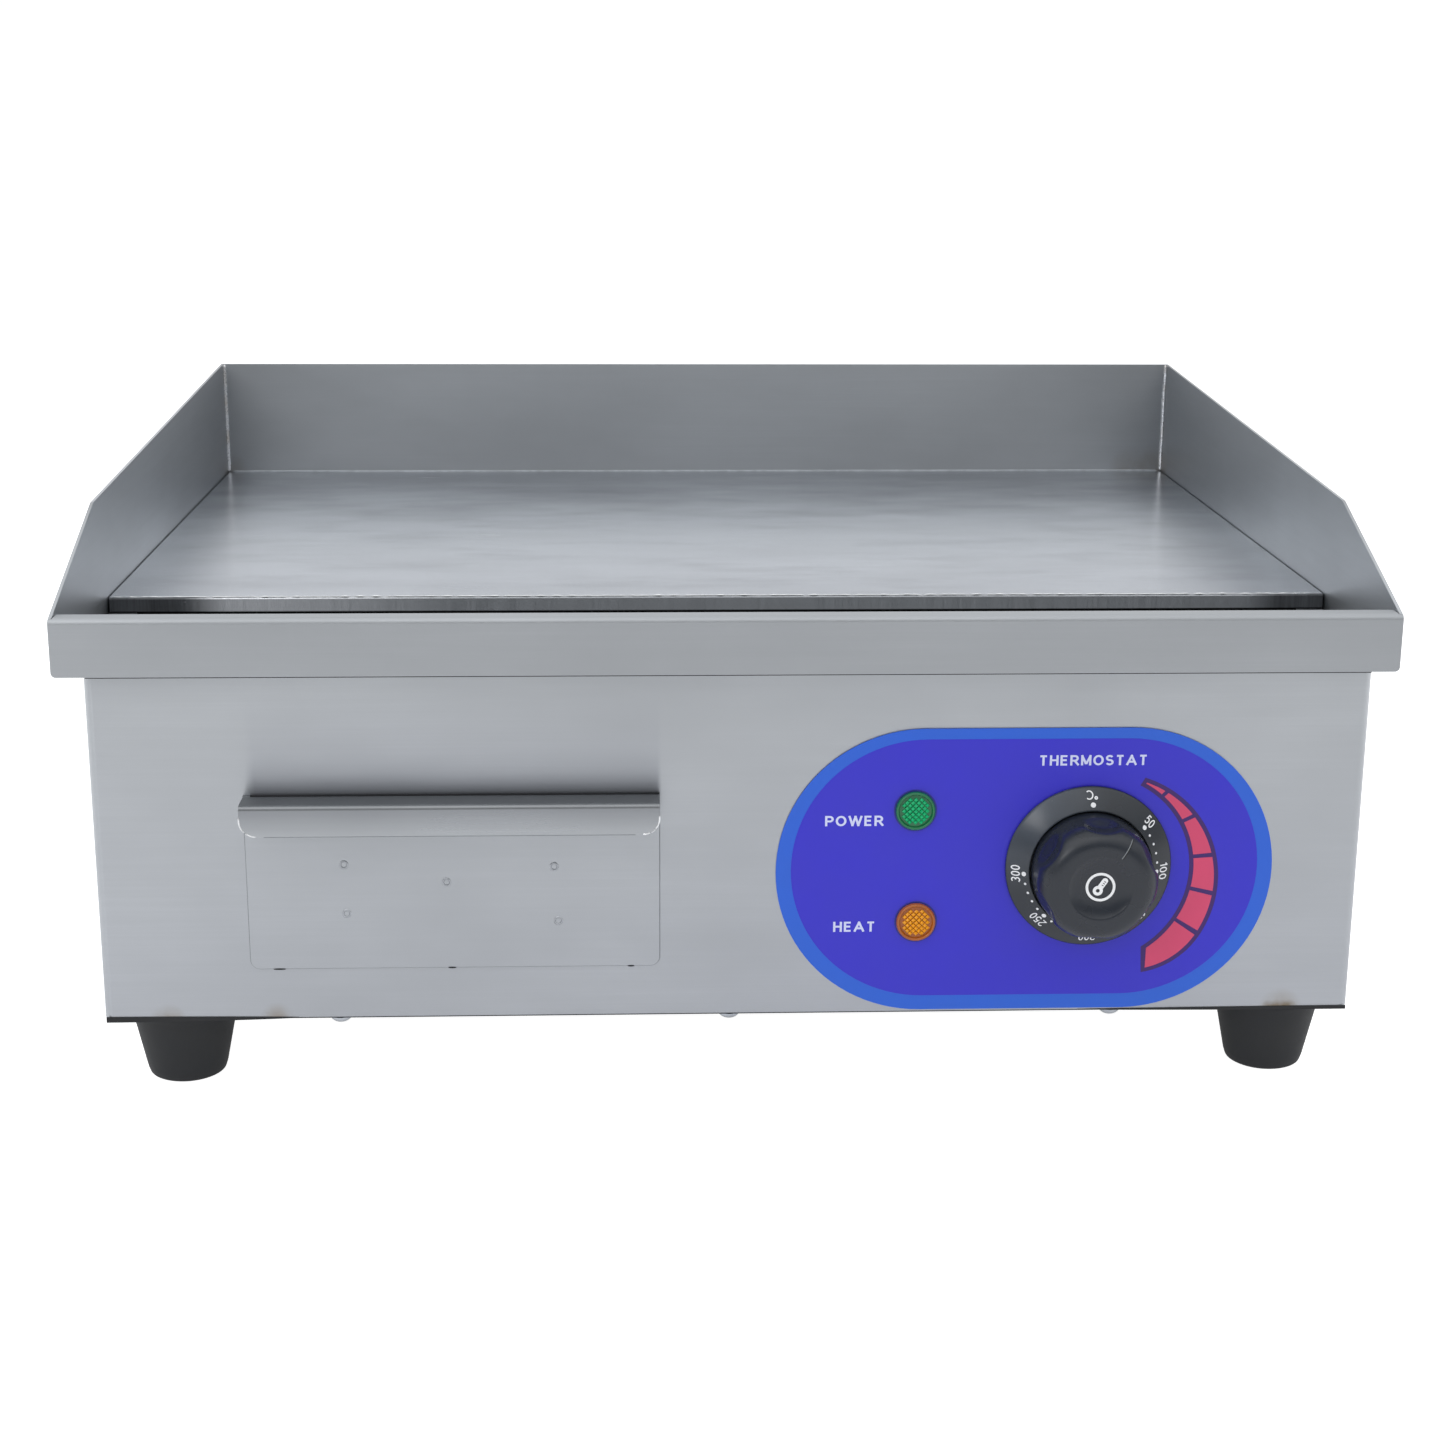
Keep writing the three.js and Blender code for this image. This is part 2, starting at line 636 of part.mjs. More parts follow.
function controlKnob() {
  const { grip, front } = DIAL;
  const shoulder = [0, 1, 2, 3, 4].map((step) => {
    const angle = (step * Math.PI) / 8;
    return [grip - 8 + 8 * Math.cos(angle), front + 9 - 9 * Math.sin(angle)];
  });
  const body = turned(
    [
      [0, front + 1.4],
      [11.5, front + 1.2],
      [13.2, front],
      ...shoulder.reverse(),
      [grip, 6.4],
      [21, 6.4],
      [21, -6],
      [6.2, -6],
      [6.2, 6],
      [3.3, 6],
      [3.3, -10],
      [0, -10],
    ],
    42,
  );
  const cuts = [0, 1, 2, 3, 4, 5].map((lobe) => {
    const reach = grip + SCALLOP.radius - SCALLOP.depth;
    return barY(0, reach, SCALLOP.radius, front - 5, SCALLOP.start, 40).rotate([0, 30 + 60 * lobe, 0]);
  });
  cuts.push(box([-0.5, 0.5], [front - 1, front + 0.7], [14.5, 20]));
  return body
    .subtract(union(...cuts))
    .rotate([0, POINTER_ANGLE, 0])
    .translate([DIAL.x, 0, DIAL.z]);
}

const THERMOSTAT_FRONT = BODY_FRONT + SKIN + 0.4;

function thermostatBody() {
  const { x, z } = DIAL;
  const block = union(
    box([x - 22, x + 22], [THERMOSTAT_FRONT, 14], [z - 12, z + 12]),
    barY(x, z, 18, 13, 34, 28),
    box([x - 15, x + 15], [33, 42], [z - 10, z + 10]),
    box([x - 9.4, x - 8.6], [41, 50], [z - 3, z + 3]),
    box([x + 8.6, x + 9.4], [41, 50], [z - 3, z + 3]),
  );
  const holes = [
    barY(x, z, 3.4, 5, 28.5),
    barY(x - DIAL_SCREW_OFFSET, z, 2.3, 5, 21, 12),
    barY(x + DIAL_SCREW_OFFSET, z, 2.3, 5, 21, 12),
  ];
  return block.subtract(union(...holes));
}

function dialScrew(side) {
  const seat = 7 - GAP;
  const profile = [
    [0, seat - 2],
    [2.2, seat - 2],
    [3.2, seat - 1],
    [3.2, seat],
    [2, seat],
    [2, 20],
    [0, 20],
  ];
  return turnedY(DIAL.x + side * DIAL_SCREW_OFFSET, DIAL.z, profile, 10);
}

function lampLens({ x, z }) {
  const back = LABEL.front - GAP;
  return turnedY(
    x,
    z,
    [
      [0, back - 3],
      [5, back - 2.8],
      [6.2, back - 2.2],
      [7.6, back - 1.8],
      [8.4, back - 1],
      [8.4, back],
      [5.5, back],
      [5.5, 20],
      [0, 20],
    ],
    20,
  );
}

function lampHolder({ x, z }) {
  const front = THERMOSTAT_FRONT;
  const cup = turnedY(x, z, [
    [5.8, front],
    [8.5, front],
    [8.5, front + 2.4],
    [7, front + 2.4],
    [7, 34],
    [0, 34],
    [0, 20.6],
    [5.8, 20.6],
    [5.8, front],
  ]);
  const blades = [-1, 1].map((side) => {
    return box([x + side * 3 - 0.4, x + side * 3 + 0.4], [33, 42], [z - 2.4, z + 2.4]);
  });
  return union(cup, ...blades);
}

add("control_label", "label", controlLabel());
add("dial_ring", "black", dialRing());
add("control_knob", "black", controlKnob());
add("thermostat_shaft", "zinc", barY(DIAL.x, DIAL.z, 3, -9.7, 28, 20));
add("thermostat_body", "galvanised", thermostatBody());
add("dial_screw_left", "zinc", dialScrew(-1));
add("dial_screw_right", "zinc", dialScrew(1));
for (const [name, finish] of [
  ["power", "green"],
  ["heat", "amber"],
]) {
  add("lamp_lens_" + name, finish, lampLens(LAMPS[name]));
  add("lamp_holder_" + name, "white", lampHolder(LAMPS[name]));
}

// ---- heating ----
const ELEMENT_FRONT = 140;
const ELEMENT_BACK = 400;
const ELEMENT_END = 418; // where the legs turn down to their terminals
const ELEMENT_X = [40, 95, 150, 205];
const ELEMENT_DROP = 140;

function heatingElement(side) {
  const [a, b, c, d] = ELEMENT_X.map((x) => side * x);
  const path = [
    [a, ELEMENT_END, ELEMENT_DROP],
    [a, ELEMENT_END, ELEMENT_Z],
    [a, ELEMENT_FRONT, ELEMENT_Z],
    [b, ELEMENT_FRONT, ELEMENT_Z],
    [b, ELEMENT_BACK, ELEMENT_Z],
    [c, ELEMENT_BACK, ELEMENT_Z],
    [c, ELEMENT_FRONT, ELEMENT_Z],
    [d, ELEMENT_FRONT, ELEMENT_Z],
    [d, ELEMENT_END, ELEMENT_Z],
    [d, ELEMENT_END, ELEMENT_DROP],
  ];
  return rod(path, ELEMENT_RADIUS, 20, 8, 4);
}

function clampBar(y) {
  const bar = box([-225, 225], [y - 10, y + 10], [BAR_TOP - BAR_THICKNESS, BAR_TOP]);
  const holes = [-STUD_X, STUD_X].map((x) => barZ(x, y, 3.4, 160, 185, 12));
  return bar.subtract(union(...holes));
}

function clampNut(x, y) {
  const top = BAR_TOP - BAR_THICKNESS - GAP;
  return barZ(x, y, 5.8, top - 5, top, 6).subtract(barZ(x, y, 3.3, 160, 190, 12));
}

const SHIELD = { half: 240, front: 126, back: 408, floor: 150 };

function heatShield() {
  const { half, front, back, floor } = SHIELD;
  const flange = BODY_TOP - SKIN - 0.4;
  const pieces = [
    box([-half, half], [front, back], [floor, floor + SKIN]),
    box([-half, half], [front, front + SKIN], [floor, floor + 15]),
    box([-half, half], [back - SKIN, back], [floor, floor + 15]),
  ];
  for (const side of [-1, 1]) {
    pieces.push(
      box([side * (half - SKIN), side * half], [front, back], [floor, flange]),
      box([side * (half - SKIN), side * (half + 21)], [front, back], [flange - SKIN, flange]),
    );
  }
  return union(...pieces);
}

function insulationBlanket() {
  const inset = SKIN + 0.8;
  const bottom = SHIELD.floor + SKIN + GAP;
  return box(
    [-SHIELD.half + inset, SHIELD.half - inset],
    [SHIELD.front + inset, SHIELD.back - inset],
    [bottom, bottom + 12],
  );
}

const BULB = { radius: 3, front: 210, back: 330 };
const BULB_Z = PLATE_BOTTOM - GAP - BULB.radius;

function capillaryTube() {
  const drop = (TROUGH_BACK + SHIELD.front) / 2;
  const path = [
    [DIAL.x, 24, DIAL.z + 18.6],
    [DIAL.x, 24, 140],
    [DIAL.x, 95, 140],
    [0, drop, 140],
    [0, drop, BULB_Z],
    [0, BULB.front - GAP, BULB_Z],
  ];
  return rod(path, 1, 5, 5, 3);
}

add("heating_element_left", "element", heatingElement(-1));
add("heating_element_right", "element", heatingElement(1));
CLAMP_Y.forEach((y, row) => {
  const place = row ? "rear" : "front";
  add("clamp_bar_" + place, "zinc", clampBar(y));
  add("clamp_nut_" + place + "_left", "zinc", clampNut(-STUD_X, y));
  add("clamp_nut_" + place + "_right", "zinc", clampNut(STUD_X, y));
});
add("heat_shield", "galvanised", heatShield());
add("insulation_blanket", "fibre", insulationBlanket());
add("sensing_bulb", "copper", barY(0, BULB_Z, BULB.radius, BULB.front, BULB.back, 12));
add("capillary_tube", "copper", capillaryTube());

// ---- supply ----
const BLOCK = { x: 195, y: 396, half: 25 };

function terminalBlock() {
  const { x, y, half } = BLOCK;
  const body = box([x - half, x + half], [y - 11, y + 11], [BODY_BOTTOM, 50]);
  const towers = [-16, 0, 16].map((dx) => box([x + dx - 6, x + dx + 6], [y - 8, y + 8], [49, 56]));
  const wells = [-16, 0, 16].map((dx) => barZ(x + dx, y, 3, 50, 60, 10));
  return union(body, ...towers).subtract(union(...wells));
}

function cableGland() {
  const seat = BODY_BACK + GAP + SKIN + GAP;
  return turnedY(GLAND.x, GLAND.z, [
    [5, 430],
    [8, 430],
    [8, seat],
    [12, seat],
    [12, seat + 5],
    [10.5, seat + 5.5],
    [10.5, BACK_MOST - 4],
    [8, BACK_MOST],
    [5, BACK_MOST],
  ]);
}

function glandNut() {
  const nut = barY(GLAND.x, GLAND.z, 12.5, 434.5, BODY_BACK, 6);
  return nut.subtract(barY(GLAND.x, GLAND.z, 8.35, 430, 445, 24));
}

add("terminal_block", "white", terminalBlock());
add("cable_gland", "black", cableGland());
add("gland_nut", "black", glandNut());
add(
  "wire_supply",
  "wire",
  rod(
    [
      [BLOCK.x - 16, BLOCK.y - 11.5, 43],
      [BLOCK.x - 16, 350, 43],
      [222, 310, 43],
      [222, 90, 43],
      [DIAL.x + 9, 90, 60],
      [DIAL.x + 9, 78, DIAL.z],
      [DIAL.x + 9, 50.5, DIAL.z],
    ],
    1.8,
    6,
    6,
    3,
  ),
);
add(
  "wire_heater",
  "wire",
  rod(
    [
      [DIAL.x - 9, 50.5, DIAL.z],
      [DIAL.x - 9, 100, DIAL.z],
      [215, 140, 70],
      [215, 380, 70],
      [ELEMENT_X[3], ELEMENT_END, 100],
      [ELEMENT_X[3], ELEMENT_END, ELEMENT_DROP - GAP],
    ],
    1.8,
    6,
    6,
    3,
  ),
);

griddle.position.y = -(FRONT_MOST + BACK_MOST) / 2;

export default griddle;
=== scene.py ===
"""The looks of a countertop electric griddle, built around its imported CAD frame.

Points are in millimetres from the apron's front face (y), the middle of the width (x) and the
table (z), and at() turns them into the frame's metres.
"""

import json
import math

import bmesh
import bpy
import numpy as np
from mathutils import Matrix, Vector, noise

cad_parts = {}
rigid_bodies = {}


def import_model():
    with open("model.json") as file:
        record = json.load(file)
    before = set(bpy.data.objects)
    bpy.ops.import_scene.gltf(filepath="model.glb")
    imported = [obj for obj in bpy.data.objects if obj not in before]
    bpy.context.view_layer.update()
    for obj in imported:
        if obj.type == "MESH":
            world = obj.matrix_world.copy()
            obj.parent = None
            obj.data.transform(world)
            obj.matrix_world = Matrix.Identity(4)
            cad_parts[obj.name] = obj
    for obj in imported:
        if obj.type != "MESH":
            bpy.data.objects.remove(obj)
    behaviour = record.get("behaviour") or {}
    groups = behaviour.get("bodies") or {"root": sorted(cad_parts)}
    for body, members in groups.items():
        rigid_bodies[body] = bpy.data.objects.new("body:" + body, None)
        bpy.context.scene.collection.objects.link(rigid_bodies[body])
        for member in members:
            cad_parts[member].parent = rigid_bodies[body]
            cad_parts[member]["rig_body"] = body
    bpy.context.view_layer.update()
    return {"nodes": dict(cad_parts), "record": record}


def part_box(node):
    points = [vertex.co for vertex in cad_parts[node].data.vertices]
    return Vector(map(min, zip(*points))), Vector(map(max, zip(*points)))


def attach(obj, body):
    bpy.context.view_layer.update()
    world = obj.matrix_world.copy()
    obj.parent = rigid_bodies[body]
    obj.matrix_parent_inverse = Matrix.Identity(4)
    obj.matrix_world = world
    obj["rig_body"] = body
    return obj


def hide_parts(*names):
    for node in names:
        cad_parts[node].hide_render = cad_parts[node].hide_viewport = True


MM = 0.001
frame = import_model()
NODES = frame["nodes"]
SLOTS = {part["node"]: part["material_slot"] for part in frame["record"]["subparts"]}
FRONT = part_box("front_apron")[0].y


def at(x, y, z):
    return Vector((x * MM, FRONT + y * MM, z * MM))


def extent(node):
    """A CAD node's box as ((x0, x1), (y0, y1), (z0, z1)) in the millimetres that at() takes."""
    low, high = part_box(node)
    return [((a - o) / MM, (b - o) / MM) for a, b, o in zip(low, high, (0, FRONT, 0))]


def centre_of(node):
    return [sum(side) / 2 for side in extent(node)]


# ---- where things are ----
SHEET = 1.2
FRAME_SHEET = 1.5
WALL_INNER = extent("front_apron")[0][1] - FRAME_SHEET
REAR_INNER = extent("rear_splash_wall")[1][1] - FRAME_SHEET
WALL_TOP = extent("rear_splash_wall")[2][1]
PLATE_X, PLATE_Y, PLATE_Z = extent("griddle_plate")
BODY_X, BODY_Y, BODY_Z = extent("body_shell")
DRAWER_X, DRAWER_Y, DRAWER_Z = extent("drawer_front")
LABEL_X, LABEL_Y, LABEL_Z = extent("control_label")
DIAL_X, _, DIAL_Z = extent("dial_ring")
KNOB_Y = extent("control_knob")[1]
DIAL_CENTRE = (sum(DIAL_X) / 2, sum(DIAL_Z) / 2)

# Axes of a face that looks a given way: across to the right, up, and out towards the viewer.
TO_FRONT = Matrix(((1, 0, 0), (0, 0, -1), (0, 1, 0))).to_4x4()
TO_REAR = Matrix(((-1, 0, 0), (0, 0, 1), (0, 1, 0))).to_4x4()
TO_BELOW = Matrix(((1, 0, 0), (0, -1, 0), (0, 0, -1))).to_4x4()
UPRIGHT = Matrix.Identity(4)


def linear(code):
    """A colour written as RRGGBB, as the linear colour that shaders take."""
    values = [int(code[i : i + 2], 16) / 255 for i in (0, 2, 4)]
    return (*(((v + 0.055) / 1.055) ** 2.4 if v > 0.04 else v / 12.92 for v in values), 1)


def shade_of(colour, factor):
    return (*(min(1, v * factor) for v in colour[:3]), 1)


# ---- materials ----


class Shader:
    """A material, and short calls for the nodes that it is made of."""

    def __init__(self, name, **sockets):
        self.material = bpy.data.materials.new(name)
        self.material.use_nodes = True
        self.tree = self.material.node_tree
        self.surface = self.tree.nodes["Principled BSDF"]
        self.place = self.node("TexCoord").outputs["Object"]
        self.put(**sockets)

    def node(self, kind, inputs=None, **settings):
        made = self.tree.nodes.new("ShaderNode" + kind)
        for key, value in settings.items():
            setattr(made, key, value)
        for key, value in (inputs or {}).items():
            self.join(made, key, value)
        return made

    def join(self, node, key, value):
        if isinstance(value, bpy.types.NodeSocket):
            self.tree.links.new(value, node.inputs[key])
        else:
            node.inputs[key].default_value = value

    def put(self, **sockets):
        """Sets or links sockets of the surface: base_color=..., ior=... and so on."""
        for key, value in sockets.items():
            title = "IOR" if key == "ior" else key.replace("_", " ").title()
            self.join(self.surface, title, value)

    def noise(self, density, detail=3.0, roughness=0.55, shift=0.0):
        """Noise with its own number of features per metre along X, Y and Z."""
        density = density if isinstance(density, tuple) else (density,) * 3
        placed = self.node(
            "Mapping", {"Vector": self.place, "Scale": density, "Location": (shift,) * 3}
        )
        made = self.node(
            "TexNoise",
            {"Vector": placed.outputs[0], "Scale": 1.0, "Detail": detail, "Roughness": roughness},
        )
        return made.outputs[0]

    def ranged(self, value, low, high, to_low=0.0, to_high=1.0):
        made = self.node(
            "MapRange",
            {"Value": value, "From Min": low, "From Max": high, "To Min": to_low, "To Max": to_high},
        )
        return made.outputs["Result"]

    def maths(self, operation, first, second=0.0):
        made = self.node("Math", operation=operation)
        self.join(made, 0, first)
        self.join(made, 1, second)
        return made.outputs[0]

    def mixed(self, factor, first, second):
        made = self.node("Mix", data_type="RGBA")
        self.join(made, 0, factor)
        self.join(made, 6, first)
        self.join(made, 7, second)
        return made.outputs[2]

    def bump(self, height, depth):
        """Relief of a depth in millimetres."""
        inputs = {"Height": height, "Distance": depth * MM, "Strength": 1.0}
        return self.node("Bump", inputs).outputs["Normal"]

    def near(self, x, y, z, reach):
        """1 at a point, falling to 0 at that many millimetres from it."""
        away = self.node("VectorMath", operation="DISTANCE")
        self.join(away, 0, self.place)
        away.inputs[1].default_value = at(x, y, z)
        return self.ranged(away.outputs["Value"], 0.0, reach * MM, 1.0, 0.0)

    def height(self, axis="Z"):
        return self.node("SeparateXYZ", {"Vector": self.place}).outputs[axis]


def stretched(grain, along, across):
    """Feature counts for noise drawn out along one axis."""
    return tuple(along if axis == grain else across for axis in "XYZ")


STEEL = linear("C6CACE")
HEAT_BROWN = linear("8B7657")
RUST_BROWN = linear("6E5A2C")


def brushed(
    name, level, roughness, grain, sheen=0.7, streaks=0.035, lined=True, clouds=0.93, base=STEEL
):
    """Brushed sheet steel: fine lines along the grain, broader streaks, and cloudy handling marks."""
    colour = shade_of(base, level)
    shade = Shader(name, metallic=1.0)
    lines = shade.noise(stretched(grain, 9, 1300), detail=4, roughness=0.7)
    bands = shade.noise(stretched(grain, 14, 330), detail=4, shift=3.1)
    cloud = shade.noise(stretched(grain, 9, 22), detail=3, shift=7.7)
    tone = shade.mixed(
        shade.ranged(lines, 0.25, 0.75), shade_of(colour, 1 - streaks), shade_of(colour, 1 + streaks)
    )
    tone = shade.mixed(shade.ranged(bands, 0.3, 0.7, 0.0, 0.6), tone, shade_of(colour, 1 - streaks))
    tone = shade.mixed(shade.ranged(cloud, 0.35, 0.7), tone, shade_of(colour, clouds))
    rough = shade.maths(
        "ADD",
        shade.ranged(bands, 0.3, 0.7, roughness - 0.012, roughness + 0.012),
        shade.ranged(cloud, 0.3, 0.7, -0.01, 0.015),
    )
    shade.put(base_color=tone, roughness=rough, normal=shade.bump(lines, 0.004))
    shade.tone = tone
    if lined:
        tangent = shade.node("Tangent", direction_type="UV_MAP", uv_map="grain")
        shade.put(tangent=tangent.outputs[0], anisotropic=sheen)
    return shade


def tinted(shade, spots, colour, strength=0.6):
    """Adds the brown and blue marks that welding heat leaves, at (x, y, z, reach) spots."""
    ragged = shade.noise(70.0, detail=4, shift=1.3)
    for x, y, z, reach in spots:
        mask = shade.maths("MULTIPLY", shade.near(x, y, z, reach), shade.ranged(ragged, 0.3, 0.6))
        mask = shade.maths("MULTIPLY", mask, strength)
        shade.tone = shade.mixed(mask, shade.tone, colour)
    shade.put(base_color=shade.tone)


def toned(shade, mask, factor):
    """Multiplies a material's tone by a factor where the mask is 1: painted shade where the factor is
    below 1, painted light where it is above.
    """
    full = (factor, factor, factor * 1.02, 1)
    faded = shade.mixed(shade.ranged(mask, 0.0, 1.0), (1, 1, 1, 1), full)
    made = shade.node("Mix", data_type="RGBA", blend_type="MULTIPLY")
    made.inputs[0].default_value = 1.0
    shade.join(made, 6, shade.tone)
    shade.join(made, 7, faded)
    shade.tone = made.outputs[2]
    shade.put(base_color=shade.tone)


def along(shade, axis, start, end):
    """0 at one place along an axis and 1 at another, in the millimetres that at() takes."""
    shift = {"X": 0.0, "Y": FRONT, "Z": 0.0}[axis]
    return shade.ranged(shade.height(axis), shift + start * MM, shift + end * MM)


body_steel = brushed("brushed_body", 0.89, 0.34, "X")
tinted(
    body_steel,
    [(238, 10, 34, 10), (-238, 10, 34, 8), (-192, 10, 34, 8), (170, 10, 34, 8)],
    HEAT_BROWN,
)
tinted(body_steel, [(x, 10, 35, 3.5) for x in (233, 236, 239, 242)], RUST_BROWN, 0.85)


def shaded_above_handle(shade):
    """The dark reflection of the drawer's handle in the brushed panel above it."""
    x0, x1 = DRAWER_X[0] + 3, DRAWER_X[1]
    sides = along(shade, "X", x0 - 2, x0 + 2)
    for other in (
        along(shade, "X", x1 + 1, x1 - 1),
        along(shade, "Z", DRAWER_Z[1] - 1, DRAWER_Z[1]),
        along(shade, "Y", BODY_Y[0] + 3, BODY_Y[0] + 2),
    ):
        sides = shade.maths("MULTIPLY", sides, other)
    close = shade.maths("POWER", along(shade, "Z", DRAWER_Z[1] + 19, DRAWER_Z[1]), 1.8)
    toned(shade, shade.maths("MULTIPLY", sides, close), 0.65)
    wide = along(shade, "Z", DRAWER_Z[1] + 44, DRAWER_Z[1] + 5)
    toned(shade, shade.maths("MULTIPLY", sides, wide), 0.93)


shaded_above_handle(body_steel)
# Painted shade: the body's steel is darker towards the bottom.
toned(body_steel, along(body_steel, "Z", 165, 45), 0.93)
frame_steel = brushed("brushed_frame", 0.78, 0.4, "X")
rear_steel = brushed("brushed_rear_wall", 0.87, 0.36, "X", clouds=0.88)
rear_marks = [(272, 449, 198, 16), (-272, 449, 198, 10), (256, 449, 197, 14)]
tinted(rear_steel, rear_marks, HEAT_BROWN, 0.4)
side_steel = brushed("brushed_side", 0.9, 0.36, "Y", clouds=0.9)
# Painted shade: the splash walls' steel is darker towards the rear.
toned(side_steel, along(side_steel, "Y", 190, 450), 0.6)
tinted(side_steel, [(273, 446, 198, 14), (-273, 446, 198, 10)], HEAT_BROWN, 0.4)
inner_steel = brushed("inner_sheet", 0.8, 0.45, "X", lined=False)
# Painted shade: the trough's steel is darker than the other inner steel, for the shade in its recess.
trough_steel = brushed("trough_sheet", 0.6, 0.42, "X", lined=False)
# Painted shade: the handle's top takes a much darker steel, and the lip darkens towards its top.
handle_steel = brushed("handle_top", 0.47, 0.3, "X")
lip_steel = brushed("handle_lip", 0.78, 0.28, "X")
toned(lip_steel, along(lip_steel, "Z", 121, 133), 0.66)


def plate_material():
    """The ground top of the cooking plate."""
    pale = linear("CBD0D6")
    # Painted light and shade: the pale colour is raised by 1.38 and lowered towards the front, a
    # painted reflection, then darkened towards the rear with a ragged edge, a painted shade.
    shade = brushed("plate_top", 1.38, 0.25, "X", 0.5, 0.045, clouds=0.84, base=pale)
    toned(shade, along(shade, "Y", 250, 130), 0.73)
    ragged = shade.noise((16, 40, 1), detail=4, shift=4.4)
    uneven = shade.ranged(ragged, 0.3, 0.7, -0.3, 0.3)
    depth = shade.maths("ADD", along(shade, "Y", 285, 420), uneven)
    toned(shade, depth, 0.6)
    return shade


def sawn_material():
    """The plate's cut edge: upright saw marks and a few bright nicks over painted light and shade, dark
    at both ends, brightest near the left, with a near-black painted shadow along its bottom.
    """
    shade = Shader("plate_edge", metallic=0.9)
    marks = shade.noise((900, 900, 25), detail=4, roughness=0.7)
    nicks = shade.noise((260, 260, 900), detail=3, shift=2.0)
    # Painted light and shade: dark at both ends, brightest near the left, mid grey further right.
    tone = shade.mixed(along(shade, "X", -240, -222), linear("5A5C5F"), linear("E6E8EC"))
    tone = shade.mixed(along(shade, "X", -205, -120), tone, linear("A7AAAE"))
    tone = shade.mixed(along(shade, "X", 236, 252), tone, linear("5A5C5F"))
    tone = shade.mixed(shade.ranged(marks, 0.35, 0.75, 0.0, 0.3), tone, linear("9A9EA4"))
    tone = shade.mixed(shade.ranged(nicks, 0.74, 0.8, 0.0, 0.6), tone, linear("F4F5F7"))
    # Painted shadow: a near-black strip along the edge's bottom.
    tone = shade.mixed(along(shade, "Z", 190.1, 189.6), tone, linear("08090A"))
    shade.put(
        base_color=tone,
        roughness=shade.ranged(marks, 0.3, 0.7, 0.4, 0.6),
        normal=shade.bump(marks, 0.05),
    )
    return shade


def weld_material():
    shade = Shader("weld_bead", metallic=1.0)
    ripple = shade.noise(900.0, detail=2)
    tint = shade.noise(120.0, detail=2, shift=4.0)
    tone = shade.mixed(shade.ranged(tint, 0.4, 0.7), linear("E3E5E8"), linear("C9C2BA"))
    shade.put(base_color=tone, roughness=shade.ranged(ripple, 0.3, 0.7, 0.22, 0.4))
    shade.put(normal=shade.bump(ripple, 0.05))
    return shade


def plated(name, code, roughness):
    """Zinc, galvanised sheet or bare metal: a mottled colour and a slightly uneven surface."""
    shade = Shader(name, metallic=1.0)
    spangle = shade.noise(260.0, detail=3)
    patch = shade.noise(40.0, detail=3, shift=5.0)
    base = linear(code)
    tone = shade.mixed(shade.ranged(spangle, 0.3, 0.7), shade_of(base, 0.85), shade_of(base, 1.1))
    tone = shade.mixed(shade.ranged(patch, 0.4, 0.7, 0.0, 0.4), tone, shade_of(base, 0.75))
    rough = shade.ranged(patch, 0.3, 0.7, roughness - 0.08, roughness + 0.1)
    shade.put(base_color=tone, roughness=rough, normal=shade.bump(spangle, 0.02))
    return shade


def moulded(name, code, roughness, grain_depth=0.02, spread=0.12, **sockets):
    """Moulded plastic, rubber or print: a fine pebbled surface with small changes of tone."""
    shade = Shader(name, **sockets)
    pebble = shade.noise(2400.0, detail=2)
    patch = shade.noise(60.0, detail=3, shift=2.0)
    base = linear(code)
    shade.tone = shade.mixed(
        shade.ranged(patch, 0.3, 0.7), shade_of(base, 1 - spread), shade_of(base, 1 + spread)
    )
    shade.put(
        base_color=shade.tone,
        roughness=shade.ranged(patch, 0.3, 0.7, roughness - 0.04, roughness + 0.05),
        normal=shade.bump(pebble, grain_depth),
    )
    return shade


plate_steel, sawn_edge, weld = plate_material(), sawn_material(), weld_material()
zinc = plated("zinc", "C6CBD2", 0.35)
galvanised = plated("galvanised", "8D9296", 0.48)
dark_base = plated("base_sheet", "4A4D50", 0.5)
sheath = plated("element_sheath", "45483F", 0.6)
copper = plated("copper", "B4714A", 0.4)
rubber = moulded("rubber", "14171B", 0.6, 0.05, 0.2)
# Near black for thin strips that stand for shade in gaps and creases: painted shadow.
shadow_black = moulded("shadow_black", "17191C", 0.6, 0.02, 0.1)
# Grey for thin painted shadow lines on the drawer and for the painted lit side of the knob's pointer.
shade_and_highlight_grey = moulded("shade_and_highlight_grey", "868B8F", 0.5, 0.02, 0.1)
bright_edge = plated("bright_edge", "F2F4F6", 0.3)
seam_steel = plated("seam_steel", "D4D8DC", 0.4)
knob_black = moulded("knob_black", "242931", 0.28, 0.01, 0.06)
ring_black = moulded("ring_black", "2B3036", 0.24, 0.012, 0.08)
# Painted highlight: the dial ring is lighter towards its upper left.
to_left = along(ring_black, "X", DIAL_CENTRE[0] + 8, DIAL_CENTRE[0] - 24)
upwards = along(ring_black, "Z", DIAL_CENTRE[1] - 12, DIAL_CENTRE[1] + 24)
toned(ring_black, ring_black.maths("MULTIPLY", to_left, upwards), 2.7)
gland_black = moulded("gland_black", "1D1F21", 0.5, 0.03, 0.15)
label_border = moulded("label_border", "2160D4", 0.42, 0.004, 0.02)
label_field = moulded("label_field", "302AC7", 0.42, 0.004, 0.02)
label_ink = moulded("label_ink", "D3D9FA", 0.45, 0.004, 0.02)
label_shadow = moulded("label_shadow", "262C8C", 0.45, 0.004, 0.05)
gauge_ink = moulded("gauge_ink", "3B1A68", 0.45, 0.004, 0.03)
gauge_red = moulded("gauge_red", "D6476F", 0.45, 0.004, 0.03)
print_white = moulded("print_white", "F2F4F6", 0.5, 0.004, 0.02)
green_lens = moulded("green_lens", "1FBB7A", 0.2, 0.003, 0.05, coat_weight=0.4)
